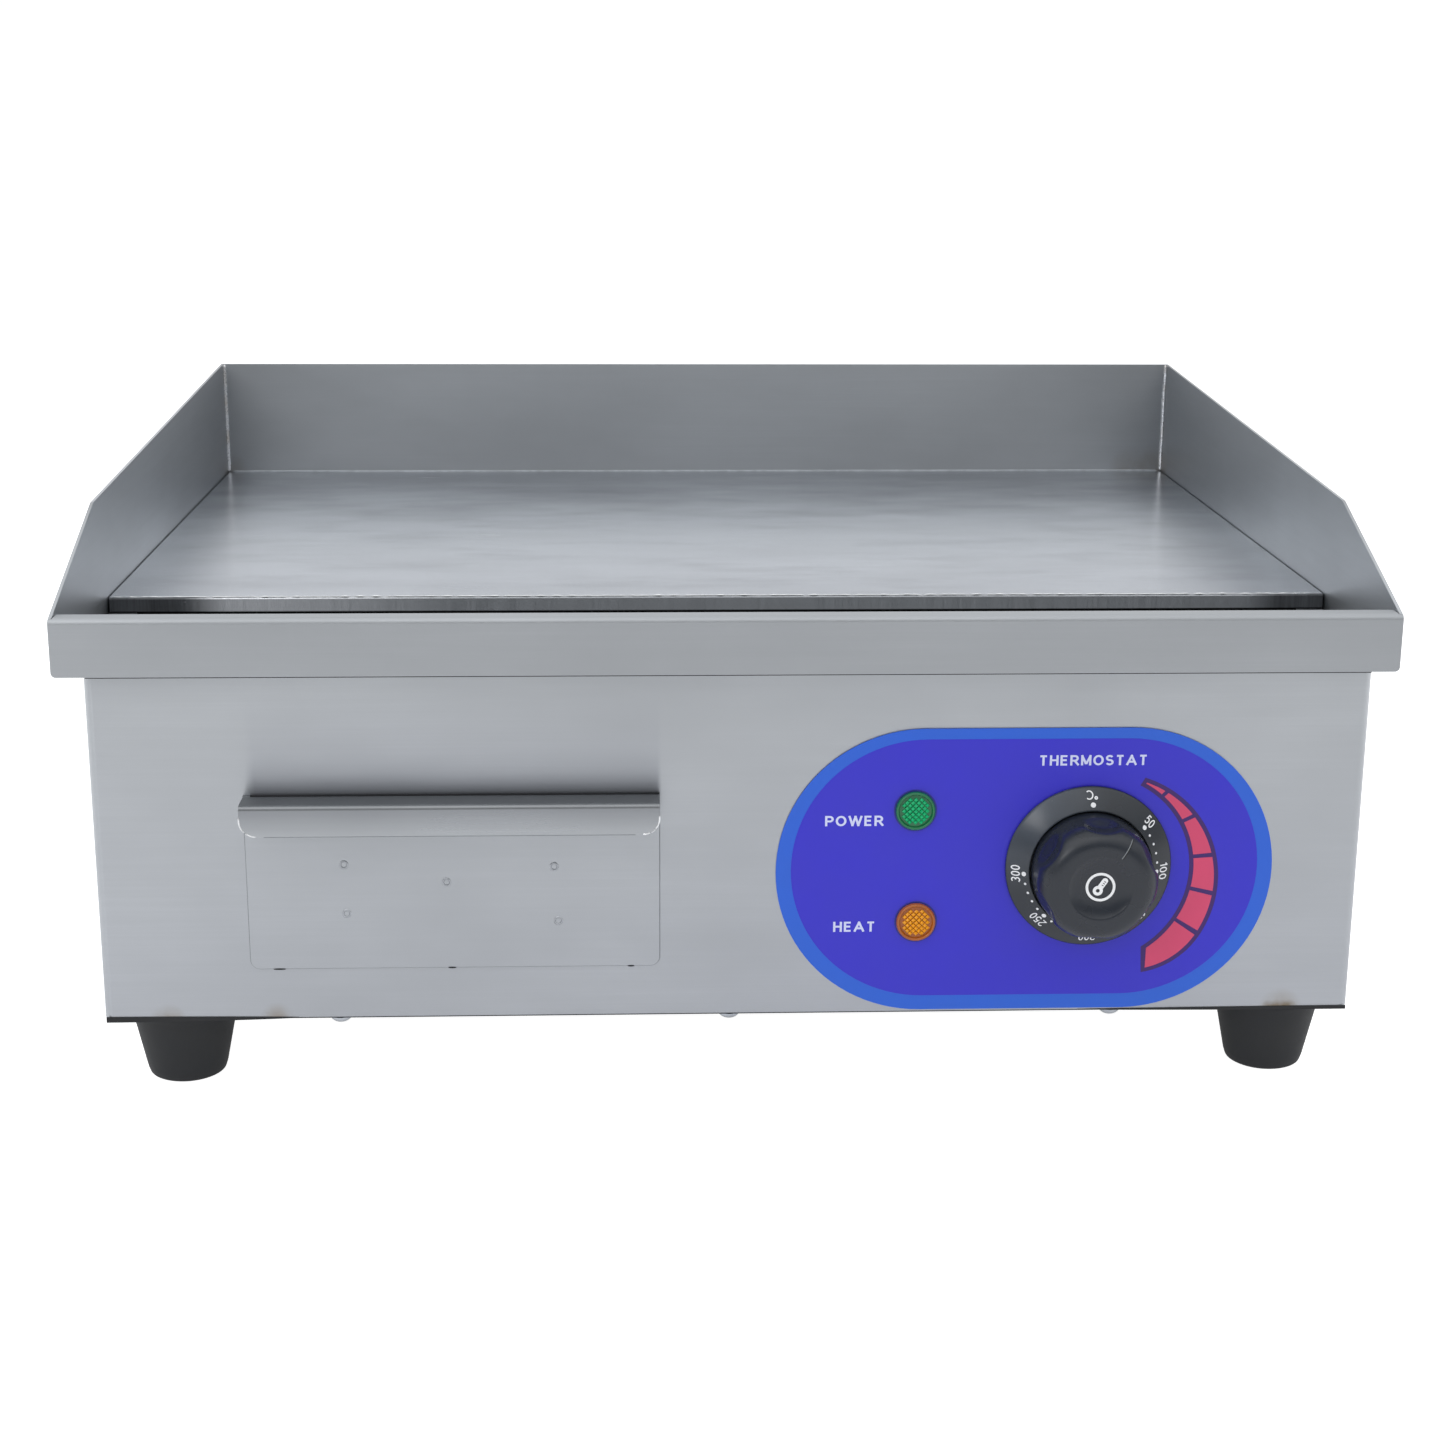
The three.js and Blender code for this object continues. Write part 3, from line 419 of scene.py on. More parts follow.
green_rim = moulded("green_rim", "0A6E42", 0.25, 0.003, 0.08, coat_weight=0.3)
amber_lens = moulded("amber_lens", "F5AA28", 0.2, 0.003, 0.05, coat_weight=0.4)
amber_rim = moulded("amber_rim", "A85A14", 0.25, 0.003, 0.08, coat_weight=0.3)
white_plastic = moulded("white_plastic", "E8E6DF", 0.5, 0.02, 0.04)
ceramic_fibre = moulded("ceramic_fibre", "ECEAE2", 0.9, 0.3, 0.06)
wire_sleeve = moulded("wire_sleeve", "9C3A2C", 0.55, 0.02, 0.08)

SLOT_LOOKS = {
    "body_steel": inner_steel,
    "frame_steel": inner_steel,
    "plate_steel": plate_steel,
    "black_plastic": gland_black,
    "label_film": label_border,
    "element_sheath": sheath,
    "zinc": zinc,
    "galvanised": galvanised,
    "rubber": rubber,
    "green_lens": green_lens,
    "amber_lens": amber_lens,
    "white_plastic": white_plastic,
    "copper": copper,
    "ceramic_fibre": ceramic_fibre,
    "wire_sleeve": wire_sleeve,
}
for node, cad in NODES.items():
    cad.data.materials.clear()
    cad.data.materials.append(SLOT_LOOKS[SLOTS[node]].material)


# ---- meshes ----


def shown(name, data):
    """A new object, linked to the scene."""
    made = bpy.data.objects.new(name, data)
    bpy.context.scene.collection.objects.link(made)
    return made


def lay_grain(mesh, grain):
    """A UV map whose U runs across the brushing, the way in which the sheen spreads."""
    layer = mesh.uv_layers.new(name="grain")
    points = np.empty(len(mesh.vertices) * 3)
    mesh.vertices.foreach_get("co", points)
    corners = np.empty(len(mesh.loops), int)
    mesh.loops.foreach_get("vertex_index", corners)
    points = points.reshape(-1, 3)[corners]
    axis = "XYZ".index(grain)
    across = points.sum(axis=1) - points[:, axis]
    layer.data.foreach_set("uv", np.stack([across, points[:, axis]], 1).ravel())


def piece(name, shape, looks, body="chassis", stands_for=(), grain=None, place=None):
    """Makes one visible piece of a bmesh, and fixes it to its body."""
    mesh = bpy.data.meshes.new(name)
    shape.to_mesh(mesh)
    shape.free()
    if place is not None:
        mesh.transform(place)
    for look in looks if isinstance(looks, (list, tuple)) else [looks]:
        mesh.materials.append(look.material)
    if grain:
        lay_grain(mesh, grain)
    mesh.shade_smooth()
    mesh.set_sharp_from_angle(angle=math.radians(32))
    made = shown(name, mesh)
    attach(made, body)
    if stands_for:
        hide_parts(*stands_for)
    return made


def placed(x, y, z, facing=TO_FRONT, turn=0.0):
    """Where a piece drawn about its own axis goes, turned clockwise as seen from outside."""
    spin = Matrix.Rotation(math.radians(-turn), 4, "Z")
    return Matrix.Translation(at(x, y, z)) @ facing @ spin


def finished(node, look, grain="X", bevel=0.3, edit=None):
    """A copy of a CAD sheet with its cut edges eased, shown in the node's place."""
    shape = bmesh.new()
    shape.from_mesh(NODES[node].data)
    bmesh.ops.remove_doubles(shape, verts=shape.verts, dist=5e-6)
    bmesh.ops.dissolve_limit(
        shape, angle_limit=math.radians(0.5), verts=shape.verts, edges=shape.edges
    )
    sharp = [e for e in shape.edges if e.is_manifold and e.calc_face_angle(0) > math.radians(35)]
    eased = {"offset": bevel * MM, "segments": 2, "profile": 0.6, "clamp_overlap": True}
    bmesh.ops.bevel(shape, geom=sharp, affect="EDGES", **eased)
    if edit:
        edit(shape)
    body = NODES[node]["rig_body"]
    made = piece(node + "_finish", shape, look, body, [node], grain)
    made.modifiers.new("normals", "WEIGHTED_NORMAL").keep_sharp = True
    return made


def filleted(points, radius, steps=4):
    """A profile with its inner corners rounded off by about that radius."""
    out = [points[0]]
    for before, corner, after in zip(points, points[1:], points[2:]):
        before, corner, after = Vector(before), Vector(corner), Vector(after)
        back, ahead = before - corner, after - corner
        start = corner + back.normalized() * min(radius, back.length * 0.45)
        end = corner + ahead.normalized() * min(radius, ahead.length * 0.45)
        for step in range(steps + 1):
            t = step / steps
            out.append(tuple(start.lerp(corner, t).lerp(corner.lerp(end, t), t)))
    return [*out, points[-1]]


def revolved(profile, steps=64, shape=None):
    """A profile of (radius, height) turned about its axis.

    shape(radius, height, angle) may alter a point.
    """
    made = bmesh.new()
    rings = []
    for radius, height in profile:
        ring = []
        for k in range(steps if radius > 1e-6 else 1):
            angle = 2 * math.pi * k / steps
            r, h = shape(radius, height, angle) if shape else (radius, height)
            spot = Vector((r * math.sin(angle), r * math.cos(angle), h))
            ring.append(made.verts.new(spot * MM))
        rings.append(ring)
    pairs = list(zip(rings, rings[1:]))
    if len(rings[0]) > 1 and len(rings[-1]) > 1:
        pairs.append((rings[-1], rings[0]))
    for one, other in pairs:
        for k in range(steps):
            n = (k + 1) % steps
            corners = [one[k % len(one)], one[n % len(one)]]
            corners += [other[n % len(other)], other[k % len(other)]]
            made.faces.new(list(dict.fromkeys(corners)))
    bmesh.ops.recalc_face_normals(made, faces=made.faces)
    return made


def flat(outlines, depth):
    """A flat shape with its holes, from closed outlines, standing depth proud of 0."""
    curve = bpy.data.curves.new("outline", "CURVE")
    curve.dimensions = "2D"
    curve.fill_mode = "BOTH"
    curve.extrude = depth * MM / 2
    for outline in outlines:
        spline = curve.splines.new("POLY")
        spline.points.add(len(outline) - 1)
        for point, (u, v) in zip(spline.points, outline):
            point.co = (u * MM, v * MM, 0, 1)
        spline.use_cyclic_u = True
    holder = shown(curve.name, curve)
    evaluated = holder.evaluated_get(bpy.context.evaluated_depsgraph_get())
    mesh = bpy.data.meshes.new_from_object(evaluated)
    made = bmesh.new()
    made.from_mesh(mesh)
    bmesh.ops.remove_doubles(made, verts=made.verts, dist=1e-7)
    bmesh.ops.recalc_face_normals(made, faces=made.faces)
    bpy.data.objects.remove(holder)
    bpy.data.meshes.remove(mesh)
    bpy.data.curves.remove(curve)
    bmesh.ops.translate(made, verts=made.verts, vec=(0, 0, depth * MM / 2))
    return made


def arc(u, v, half_u, half_v, start, end, steps=12):
    """Points round an ellipse, anticlockwise in degrees from the right."""
    angles = [math.radians(start + (end - start) * k / steps) for k in range(steps + 1)]
    return [(u + half_u * math.cos(a), v + half_v * math.sin(a)) for a in angles]


# The middle lines of plain bold letters, a cap height of 1 tall: (width, strokes).
STEM = [(0, 0), (0, 1)]
BEND = arc(0.36, 0.73, 0.27, 0.27, 80, -80, 8)
BOWL = [(0.05, 1), (0.36, 1), *BEND, (0.36, 0.46), (0.05, 0.46)]
GLYPHS = {
    "A": (0.84, [[(0, 0), (0.42, 1)], [(0.42, 1), (0.84, 0)], [(0.15, 0.3), (0.69, 0.3)]]),
    "C": (0.76, [arc(0.42, 0.5, 0.42, 0.5, 48, 312, 20)]),
    "E": (0.58, [[(0.58, 0), (0, 0), (0, 1), (0.58, 1)], [(0, 0.52), (0.53, 0.52)]]),
    "H": (0.66, [STEM, [(0.66, 0), (0.66, 1)], [(0, 0.52), (0.66, 0.52)]]),
    "M": (0.82, [STEM, [(0, 1), (0.41, 0.05)], [(0.41, 0.05), (0.82, 1)], [(0.82, 1), (0.82, 0)]]),
    "O": (0.84, [arc(0.42, 0.5, 0.42, 0.5, 0, 360, 28)]),
    "P": (0.63, [STEM, BOWL]),
    "R": (0.68, [STEM, BOWL, [(0.34, 0.46), (0.68, 0)]]),
    "S": (0.6, [arc(0.3, 0.75, 0.28, 0.25, 25, 250, 12) + arc(0.3, 0.25, 0.3, 0.26, 70, -155, 12)]),
    "T": (0.68, [[(0, 1), (0.68, 1)], [(0.34, 1), (0.34, 0)]]),
    "W": (1.16, [[(0.29 * k, 1 - k % 2), (0.29 * (k + 1), k % 2)] for k in range(4)]),
    "0": (0.5, [arc(0.25, 0.5, 0.25, 0.5, 0, 360, 24)]),
    "1": (0.22, [[(0, 0.76), (0.22, 0.98)], [(0.22, 1), (0.22, 0)]]),
    "2": (0.52, [[*arc(0.26, 0.73, 0.26, 0.27, 165, -35, 12), (0, 0), (0.52, 0)]]),
    "3": (0.52, [arc(0.25, 0.76, 0.24, 0.24, 150, -90, 12), arc(0.25, 0.26, 0.27, 0.26, 90, -150, 12)]),
    "5": (0.52, [[(0.48, 1), (0.1, 1), (0.04, 0.55), *arc(0.25, 0.33, 0.27, 0.33, 125, -145, 12)]]),
    "°": (0.28, [arc(0.14, 0.86, 0.14, 0.14, 0, 360, 16)]),
}


def add_stroke(shape, line, pen, level):
    """A band of even width along a line, with square corners and ends, at a level of its own."""
    points = [Vector(p) for p in line]
    closed = (points[0] - points[-1]).length < 1e-6
    for end, neighbour in ((0, 1), (-1, -2)):
        way = (points[end] - points[neighbour]).normalized()
        if abs(way.y) > 0.5 and not closed and round(points[end].y, 2) in (0, 1):
            points[end] = points[end] + way * pen / 2
    rows = []
    for index, point in enumerate(points):
        before = points[index - 1] if index else (points[-2] if closed else None)
        after = points[index + 1] if index + 1 < len(points) else (points[1] if closed else None)
        ways = [(b - a).normalized() for a, b in ((before, point), (point, after)) if a and b]
        across = Vector((-sum(w.y for w in ways), sum(w.x for w in ways))).normalized()
        reach = pen / 2 / max(0.5, across.dot(Vector((-ways[0].y, ways[0].x))))
        edges = [point + across * reach * side for side in (1, -1)]
        rows.append([shape.verts.new((*edge, level)) for edge in edges])
    for one, following in zip(rows, rows[1:]):
        shape.faces.new([one[0], one[1], following[1], following[0]])


def lettering(text, height, width=None, pen=0.23, gap=0.42, depth=0.08):
    """Plain lettering of a real height, and width if given, centred on its own origin."""
    made = bmesh.new()
    cursor = 0.0
    for letter in text:
        wide, strokes = GLYPHS[letter]
        for level, line in enumerate(strokes):
            add_stroke(made, [(u + cursor, v) for u, v in line], pen, level)
        cursor += wide + gap
    points = np.array([v.co for v in made.verts])
    low, high = points.min(0), points.max(0)
    middle = (low + high) / 2
    scale_v = height * MM / (high[1] - low[1])
    scale_u = width * MM / (high[0] - low[0]) if width else scale_v
    for vertex in made.verts:
        rise = (depth + 0.015 * vertex.co.z) * MM
        u, v = vertex.co.x - middle[0], vertex.co.y - middle[1]
        vertex.co = (u * scale_u, v * scale_v, rise)
    return made


def merged(shapes):
    """Several (bmesh, matrix) pairs as one bmesh."""
    whole = bmesh.new()
    for shape, matrix in shapes:
        mesh = bpy.data.meshes.new("part")
        bmesh.ops.transform(shape, matrix=matrix, verts=shape.verts)
        shape.to_mesh(mesh)
        shape.free()
        whole.from_mesh(mesh)
        bpy.data.meshes.remove(mesh)
    return whole


def circle(u, v, radius, steps=48):
    return arc(u, v, radius, radius, 0, 360, steps)[:-1]


def tube(points, radius, sides=8, wobble=0.0, seed=0.0):
    """A thin round bead along points in metres, with its radius varying by a share of itself."""
    made = bmesh.new()
    rings = []
    for index, point in enumerate(points):
        ahead = points[min(index + 1, len(points) - 1)] - points[max(index - 1, 0)]
        side = ahead.orthogonal().normalized()
        if abs(ahead.normalized().x) > 0.9:
            side = Vector((0, 0, 1))
        other = ahead.normalized().cross(side)
        grown = radius * (1 + wobble * noise.noise(Vector((seed, index * 0.37, 0))))
        if index in (0, len(points) - 1):
            grown *= 0.3
        ring = []
        for k in range(sides):
            angle = 2 * math.pi * k / sides
            offset = side * math.cos(angle) + other * math.sin(angle)
            ring.append(made.verts.new(point + offset * grown * MM))
        rings.append(ring)
    for one, following in zip(rings, rings[1:]):
        for k in range(sides):
            n = (k + 1) % sides
            made.faces.new([one[k], one[n], following[n], following[k]])
    made.faces.new(rings[0])
    made.faces.new(rings[-1])
    bmesh.ops.recalc_face_normals(made, faces=made.faces)
    return made


# ---- sheet metal and plate ----
for node, look, grain, bevel in (
    ("left_splash_wall", side_steel, "Y", 0.35),
    ("right_splash_wall", side_steel, "Y", 0.35),
    ("rear_splash_wall", rear_steel, "X", 0.35),
    ("front_apron", frame_steel, "X", 0.4),
    ("grease_trough", trough_steel, "X", 0.2),
    ("drain_spout", inner_steel, "X", 0.15),
    ("body_shell", body_steel, "X", 0.25),
    ("rear_panel", body_steel, "X", 0.2),
    ("base_plate", dark_base, "X", 0.2),
):
    finished(node, look, grain, bevel)


def mark_handle(shape):
    """The handle's top takes a darker steel, painted shade, and its lip one with a painted shading
    gradient.
    """
    for face in shape.faces:
        middle = face.calc_center_median()
        if middle.y < FRONT + (DRAWER_Y[1] - 1.8) * MM:
            face.material_index = 1 if face.normal.z > 0.03 else 2


finished("drawer_front", [body_steel, handle_steel, lip_steel], "X", 0.3, mark_handle)
for node, look in (
    ("drawer_tray", inner_steel),
    ("drawer_rail_left", galvanised),
    ("drawer_rail_right", galvanised),
):
    finished(node, look, "Y", 0.15)


def mark_sawn_edge(shape):
    for face in shape.faces:
        if face.normal.y < -0.3:
            face.material_index = 1


finished("griddle_plate", [plate_steel, sawn_edge], "X", 0.25, mark_sawn_edge)


def corner_weld(side):
    """The ground bead down an inner rear corner of the splash frame."""
    top, bottom = WALL_TOP - 0.4, PLATE_Z[1] + 0.2
    points = []
    for step in range(61):
        z = bottom + (top - bottom) * step / 60
        drift = 0.25 * noise.noise(Vector((side * 3.0, z * 0.09, 0)))
        points.append(at(side * (WALL_INNER - 0.3) + drift, REAR_INNER - 0.4 + drift / 2, z))
    return tube(points, 1.15, 10, 0.12, side * 5.0)


for side, word in ((-1, "left"), (1, "right")):
    piece("corner_weld_" + word, corner_weld(side), weld)


def long_bead(y, z, half, radius, wobble, seed):
    """A thin uneven line along the plate's width."""
    points, count = [], 420
    for step in range(count + 1):
        x = half * (2 * step / count - 1)
        rise = 0.12 * noise.noise(Vector((x * 0.15, seed, 0)))
        points.append(at(x, y, z + rise))
    return tube(points, radius, 6, wobble, seed)


piece(
    "plate_burr",
    long_bead(PLATE_Y[0] + 0.75, PLATE_Z[1] - 0.1, PLATE_X[1] - 1, 0.36, 1.3, 2.0),
    bright_edge,
)
piece(
    "rear_seam",
    long_bead(REAR_INNER - 0.3, PLATE_Z[1] + 0.25, PLATE_X[1] - 2, 0.62, 0.12, 9.0),
    seam_steel,
)

# ---- drawer ----
SPOT_WELDS = [(-161.5, 103.5), (-74, 102), (-119, 95.5), (-161, 82), (-72.5, 78)]
SPOT_PROFILE = [(0, 0.02), (0.7, 0.02), (1.05, 0.02), (1.35, 0.36), (1.65, 0.32)]
SPOT_PROFILE += [(2.0, 0.0), (2.0, -0.1)]
DRAWER_FACE = DRAWER_Y[1] - SHEET
piece(
    "spot_weld_marks",
    merged([(revolved(SPOT_PROFILE, 32), placed(x, DRAWER_FACE, z)) for x, z in SPOT_WELDS]),
    body_steel,
    "drawer",
    grain="X",
)


def rounded_face(grow):
    """The drawer's face with rounded lower corners, grown by a margin."""
    x0, x1, z0 = DRAWER_X[0] - grow, DRAWER_X[1] + grow, DRAWER_Z[0] - grow
    radius = 4 + grow
    left = arc(x0 + radius, z0 + radius, radius, radius, 180, 270, 8)
    right = arc(x1 - radius, z0 + radius, radius, radius, -90, 0, 8)
    return [(x0, DRAWER_Z[1]), *left, *right, (x1, DRAWER_Z[1])]


# Fixes a thin piece to the drawer; each one here is a painted shadow line.
def drawer_line(name, shape, look, place=None):
    piece(name, shape, look, "drawer", place=place)


# Painted shadow: a thin grey outline round the drawer's face.
drawer_line(
    "drawer_shadow_outline",
    flat([rounded_face(0.25)], 0.3),
    shade_and_highlight_grey,
    placed(0, DRAWER_Y[1] - 0.35, 0),
)
# Painted shadow: small dark marks along the drawer face's lower edge, where it stands off the body.
SHADOW_SPECKS = [(-190, 2.6), (-117.5, 1.7), (-42, 1.4)]  # middle and half length along the lower edge
shadow_specks = [
    flat([[(x + half * u, DRAWER_Z[0] - 0.1 + 0.3 * v) for u, v in circle(0, 0, 1, 20)]], 0.2)
    for x, half in SHADOW_SPECKS
]
drawer_line(
    "drawer_shadow_specks",
    merged([(shadow_speck, placed(0, DRAWER_FACE, 0)) for shadow_speck in shadow_specks]),
    shadow_black,
)


def bar(low, high):
    """A box between two corners."""
    made = bmesh.new()
    bmesh.ops.create_cube(made, size=1)
    for vertex in made.verts:
        spot = [a if side < 0 else b for a, b, side in zip(low, high, vertex.co)]
        vertex.co = at(*spot)
    return made


LIP_Z = 120.3
# Painted shadow: a dark line along the drawer's top edge, where the handle folds forward.
drawer_line(
    "hinge_shadow_line",
    bar(
        (DRAWER_X[0] + 3, DRAWER_FACE - 0.2, DRAWER_Z[1] - 0.2),
        (DRAWER_X[1], DRAWER_Y[1] - 0.1, DRAWER_Z[1] + 0.3),
    ),
    shadow_black,
)
# Painted shadow: a grey line under the handle's lip.
drawer_line(
    "lip_shadow_line",
    bar(
        (DRAWER_X[0] + 10, DRAWER_Y[0] + 0.2, LIP_Z - 0.3),
        (DRAWER_X[1] - 10, DRAWER_Y[0] + 1.0, LIP_Z + 0.2),
    ),
    shade_and_highlight_grey,
)


def lip_arc(side):
    """The painted highlight round a lower corner of the handle's lip, a thin bright bead."""
    edge = DRAWER_X[0] if side < 0 else DRAWER_X[1]
    corner, radius = 7, 6.9
    points = []
    for step in range(-2, 15):
        angle = math.pi / 2 * step / 14
        x = edge - side * (corner - radius * math.cos(max(angle, 0)))
        points.append(at(x, DRAWER_Y[0] + 0.25, LIP_Z + corner - radius * math.sin(angle)))
    return points


# Painted highlights: bright beads round the lip's lower corners.
piece(
    "lip_edge_highlights",
    merged([(tube(lip_arc(side), 0.42, 8, 0.2, side), UPRIGHT) for side in (-1, 1)]),
    bright_edge,
    "drawer",
)
# Painted shadow: a dark strip along the apron's lower edge on the body's front.
piece(
    "apron_shadow_line",
    bar((6 - BODY_X[1], 0.5, BODY_Z[1] - 0.15), (BODY_X[1] - 4, 1.2, BODY_Z[1] + 0.3)),
    shadow_black,
)


def sagging_edge(outer, inner, drop):
    """The base plate's edge, which hangs lower beside a foot and tapers inwards; its black is painted
    shade.
    """
    steps = 24
    upper, lower = [], []
    for step in range(steps + 1):
        share = step / steps
        x = outer + (inner - outer) * share
        fall = math.cos(math.pi / 2 * share) ** 0.7 if step < steps else 0.0
        upper.append((x, BODY_Z[0] + drop * 0.45 * fall))
        lower.append((x, BODY_Z[0] - drop * 0.75 * fall - 0.1))
    return flat([upper + lower[::-1]], 0.4)


for word, outer, inner, drop in (
    ("left", BODY_X[0] + 1, -183, 2.0),
    ("right", BODY_X[1] - 1, 150, 1.3),
):
    piece(
        "base_edge_" + word,
        sagging_edge(outer, inner, drop),
        shadow_black,
        place=placed(0, BODY_Y[0] + 0.1, 0),
    )

# ---- control label ----
LABEL_MIDDLE = sum(LABEL_Z) / 2
LAMPS = {name: centre_of("lamp_lens_" + name)[::2] for name in ("power", "heat")}


def stadium(left, right, middle, radius):
    """An outline with round ends, radius high above and below its middle."""
    one = arc(right - radius, middle, radius, radius, 90, -90, 48)
    return one + arc(left + radius, middle, radius, radius, -90, -270, 48)


LABEL_HOLES = [circle(*LAMPS["power"], 6.2), circle(*LAMPS["heat"], 6.2), circle(*DIAL_CENTRE, 24)]
INK_LIFT = 0.38


def print_on_label(name, shape, look, lift=INK_LIFT):
    """A flat print drawn in the front's own x and z, lifted off the label's back."""
    piece(name, shape, look, place=placed(0, LABEL_Y[1] - lift, 0))


piece(
    "label_edge",
    flat([stadium(*LABEL_X, LABEL_MIDDLE, (LABEL_Z[1] - LABEL_Z[0]) / 2), *LABEL_HOLES], 0.35),
    label_border,
    stands_for=["control_label"],
    place=placed(0, LABEL_Y[1], 0),
)
print_on_label(
    "label_panel", flat([stadium(25.4, 223.6, 99.2, 56.9), *LABEL_HOLES], 0.06), label_field, 0.34
)
WORDS = [  # text, middle in x and z, and width
    ("POWER", 51.9, 120.8, 24.8),
    ("HEAT", 52.4, 73.8, 17.4),
    ("THERMOSTAT", 151.5, 146.7, 44.8),
]
words = [
    (lettering(text, 4.8, width), Matrix.Translation(Vector((x, z, 0)) * MM))
    for text, x, z, width in WORDS
]
print_on_label("label_words", merged(words), label_ink)

# The heat gauge is a crescent between two arcs, cut into cells that widen clockwise.
GAUGE_INNER = (1.8, -2.0, 42.6)  # centre from the dial's, and radius
GAUGE_OUTER = (7.8, -7.5, 47.3)
GAUGE_CUTS = [31.8, 45.0, 64.0, 85.5, 103.6, 122.6, 148.3]
GAUGE_LEAN = 3.0  # degrees by which the last cut leans, with its outer end further round
GAUGE_PULL = 3.4  # how far the last cell's outer end is drawn in


def arc_point(arc, angle, outset):
    """Where a ray from the dial's centre, clockwise from the top, meets an arc."""
    across, up, radius = arc
    ray = Vector((math.sin(math.radians(angle)), math.cos(math.radians(angle))))
    centre = Vector((across, up))
    reach = ray.dot(centre)
    reach += math.sqrt(reach**2 - centre.length_squared + (radius + outset) ** 2)
    return ray * reach + Vector(DIAL_CENTRE)


def gauge_cell(start, end, outset, steps=10):
    """A cell grown or shrunk by a margin all round."""
    spread = math.degrees(outset / 46)
    inner, outer = [], []
    for k in range(steps + 1):
        angle = start - spread + (end - start + 2 * spread) * k / steps
        last = max(0, (angle - GAUGE_CUTS[-2]) / (GAUGE_CUTS[-1] - GAUGE_CUTS[-2]))
        inner.append(arc_point(GAUGE_INNER, angle - GAUGE_LEAN * last, -outset))
        drawn_in = outset - GAUGE_PULL * last**2
        outer.append(arc_point(GAUGE_OUTER, angle + GAUGE_LEAN * last, drawn_in))
    return [tuple(p) for p in inner + outer[::-1]]


print_on_label(
    "gauge_outline", flat([gauge_cell(GAUGE_CUTS[0], GAUGE_CUTS[-1], 1.0, 60)], 0.05), gauge_ink
)
cells = [gauge_cell(start, end, -0.85) for start, end in zip(GAUGE_CUTS, GAUGE_CUTS[1:])]
print_on_label(
    "gauge_cells", merged([(flat([cell], 0.05), UPRIGHT) for cell in cells]), gauge_red, INK_LIFT + 0.04
)

# ---- dial ----
RING_OUTER = (DIAL_X[1] - DIAL_X[0]) / 2
CONE = ((RING_OUTER - 0.6, -7.1), (26.4, -2.2))  # radius and height of the printed slope's two edges
CONE_TILT = math.atan2(CONE[1][1] - CONE[0][1], CONE[0][0] - CONE[1][0])
RING_PROFILE = [(6, -9), (RING_OUTER, -9), (RING_OUTER, -7.7), *CONE]
RING_PROFILE += [(25.8, -2.4), (25.8, -7), (6, -7)]
piece(
    "dial_ring_body",
    revolved(filleted(RING_PROFILE, 0.35, 3), 128),
    ring_black,
    stands_for=["dial_ring"],
    place=placed(DIAL_CENTRE[0], 0, DIAL_CENTRE[1]),
)
SCALE_RISE = 0.8  # how far the scale's middle is above the dial's
NUMBER_RADIUS, DOT_RADIUS = 31.4, 28.2
DOT_SPACING = 8.5


def on_scale(radius, angle, upside=0.0):
    """A place on the dial's slope, clockwise from the top, with up pointing outwards."""
    across = radius * math.sin(math.radians(angle))
    up = radius * math.cos(math.radians(angle)) + SCALE_RISE
    radius, angle = math.hypot(across, up), math.degrees(math.atan2(across, up))
    share = (radius - CONE[1][0]) / (CONE[0][0] - CONE[1][0])
    height = CONE[1][1] + share * (CONE[0][1] - CONE[1][1]) + 0.02
    slide = Matrix.Translation(Vector((0, radius, height)) * MM)
    tilt = Matrix.Rotation(-CONE_TILT, 4, "X") @ Matrix.Rotation(upside, 4, "Z")
    return placed(DIAL_CENTRE[0], 0, DIAL_CENTRE[1], turn=angle) @ slide @ tilt


def scale_marks():
    marks = []
    for number, angle in ((50, 51.7), (100, 94), (150, 137), (200, 179.5), (250, 222), (300, 265)):
        width = 4.5 if number == 50 else 7.4
        marks.append((lettering(str(number), 4.2, width, 0.16, 0.3), on_scale(NUMBER_RADIUS, angle)))
        marks.append((flat([circle(0, 0, 1.0, 24)], 0.06), on_scale(DOT_RADIUS, angle)))
        for step in range(1, 5 if number < 300 else 1):
            spot = on_scale(DOT_RADIUS, angle + DOT_SPACING * step)
            marks.append((flat([circle(0, 0, 0.55, 20)], 0.06), spot))
    marks.append((lettering("°C", 4.1, pen=0.16, gap=0.25), on_scale(31.3, 359.5, math.pi)))
    marks.append((flat([circle(0, 0, 1.1, 24)], 0.06), on_scale(27.6, 0)))
    return merged(marks)


piece("dial_scale", scale_marks(), print_white)

# ---- knob, drawn about its own axis with the pointer straight up, heights towards the front ----
GRIP = 25.2
KNOB_FRONT = -KNOB_Y[0]
POINTER_ANGLE = 33
SCALLOP_RADIUS = 24
SCALLOP_DEPTH = 2.6
SHOULDER = 8.5
DOME = 9


def knob_profile():
    front = KNOB_FRONT
    dish = [(0, -2.4), (4, -2.35), (7, -2.15), (9.4, -1.75), (11.4, -1.15), (12.8, -0.5), (13.6, 0)]
    dish = [(radius, front + height) for radius, height in dish]
    face = [(14.1, front + 0.03), (15.5, front), (16.1, front), (16.7, front)]
    shoulder = arc(GRIP - SHOULDER, front - DOME, SHOULDER, DOME, 90, 0, 16)
    wall = [(GRIP, front - DOME - 0.7 * k) for k in range(1, 20)]
    under = [(GRIP - 0.3, -6.2), (GRIP - 0.8, -6.4), (21, -6.4), (21, 6), (6.2, 6), (6.2, -6)]
    under.append((3.3, -6))
    return filleted(dish, 0.8, 3) + face + shoulder + wall + under + [(3.3, 9.9), (0, 9.9)]


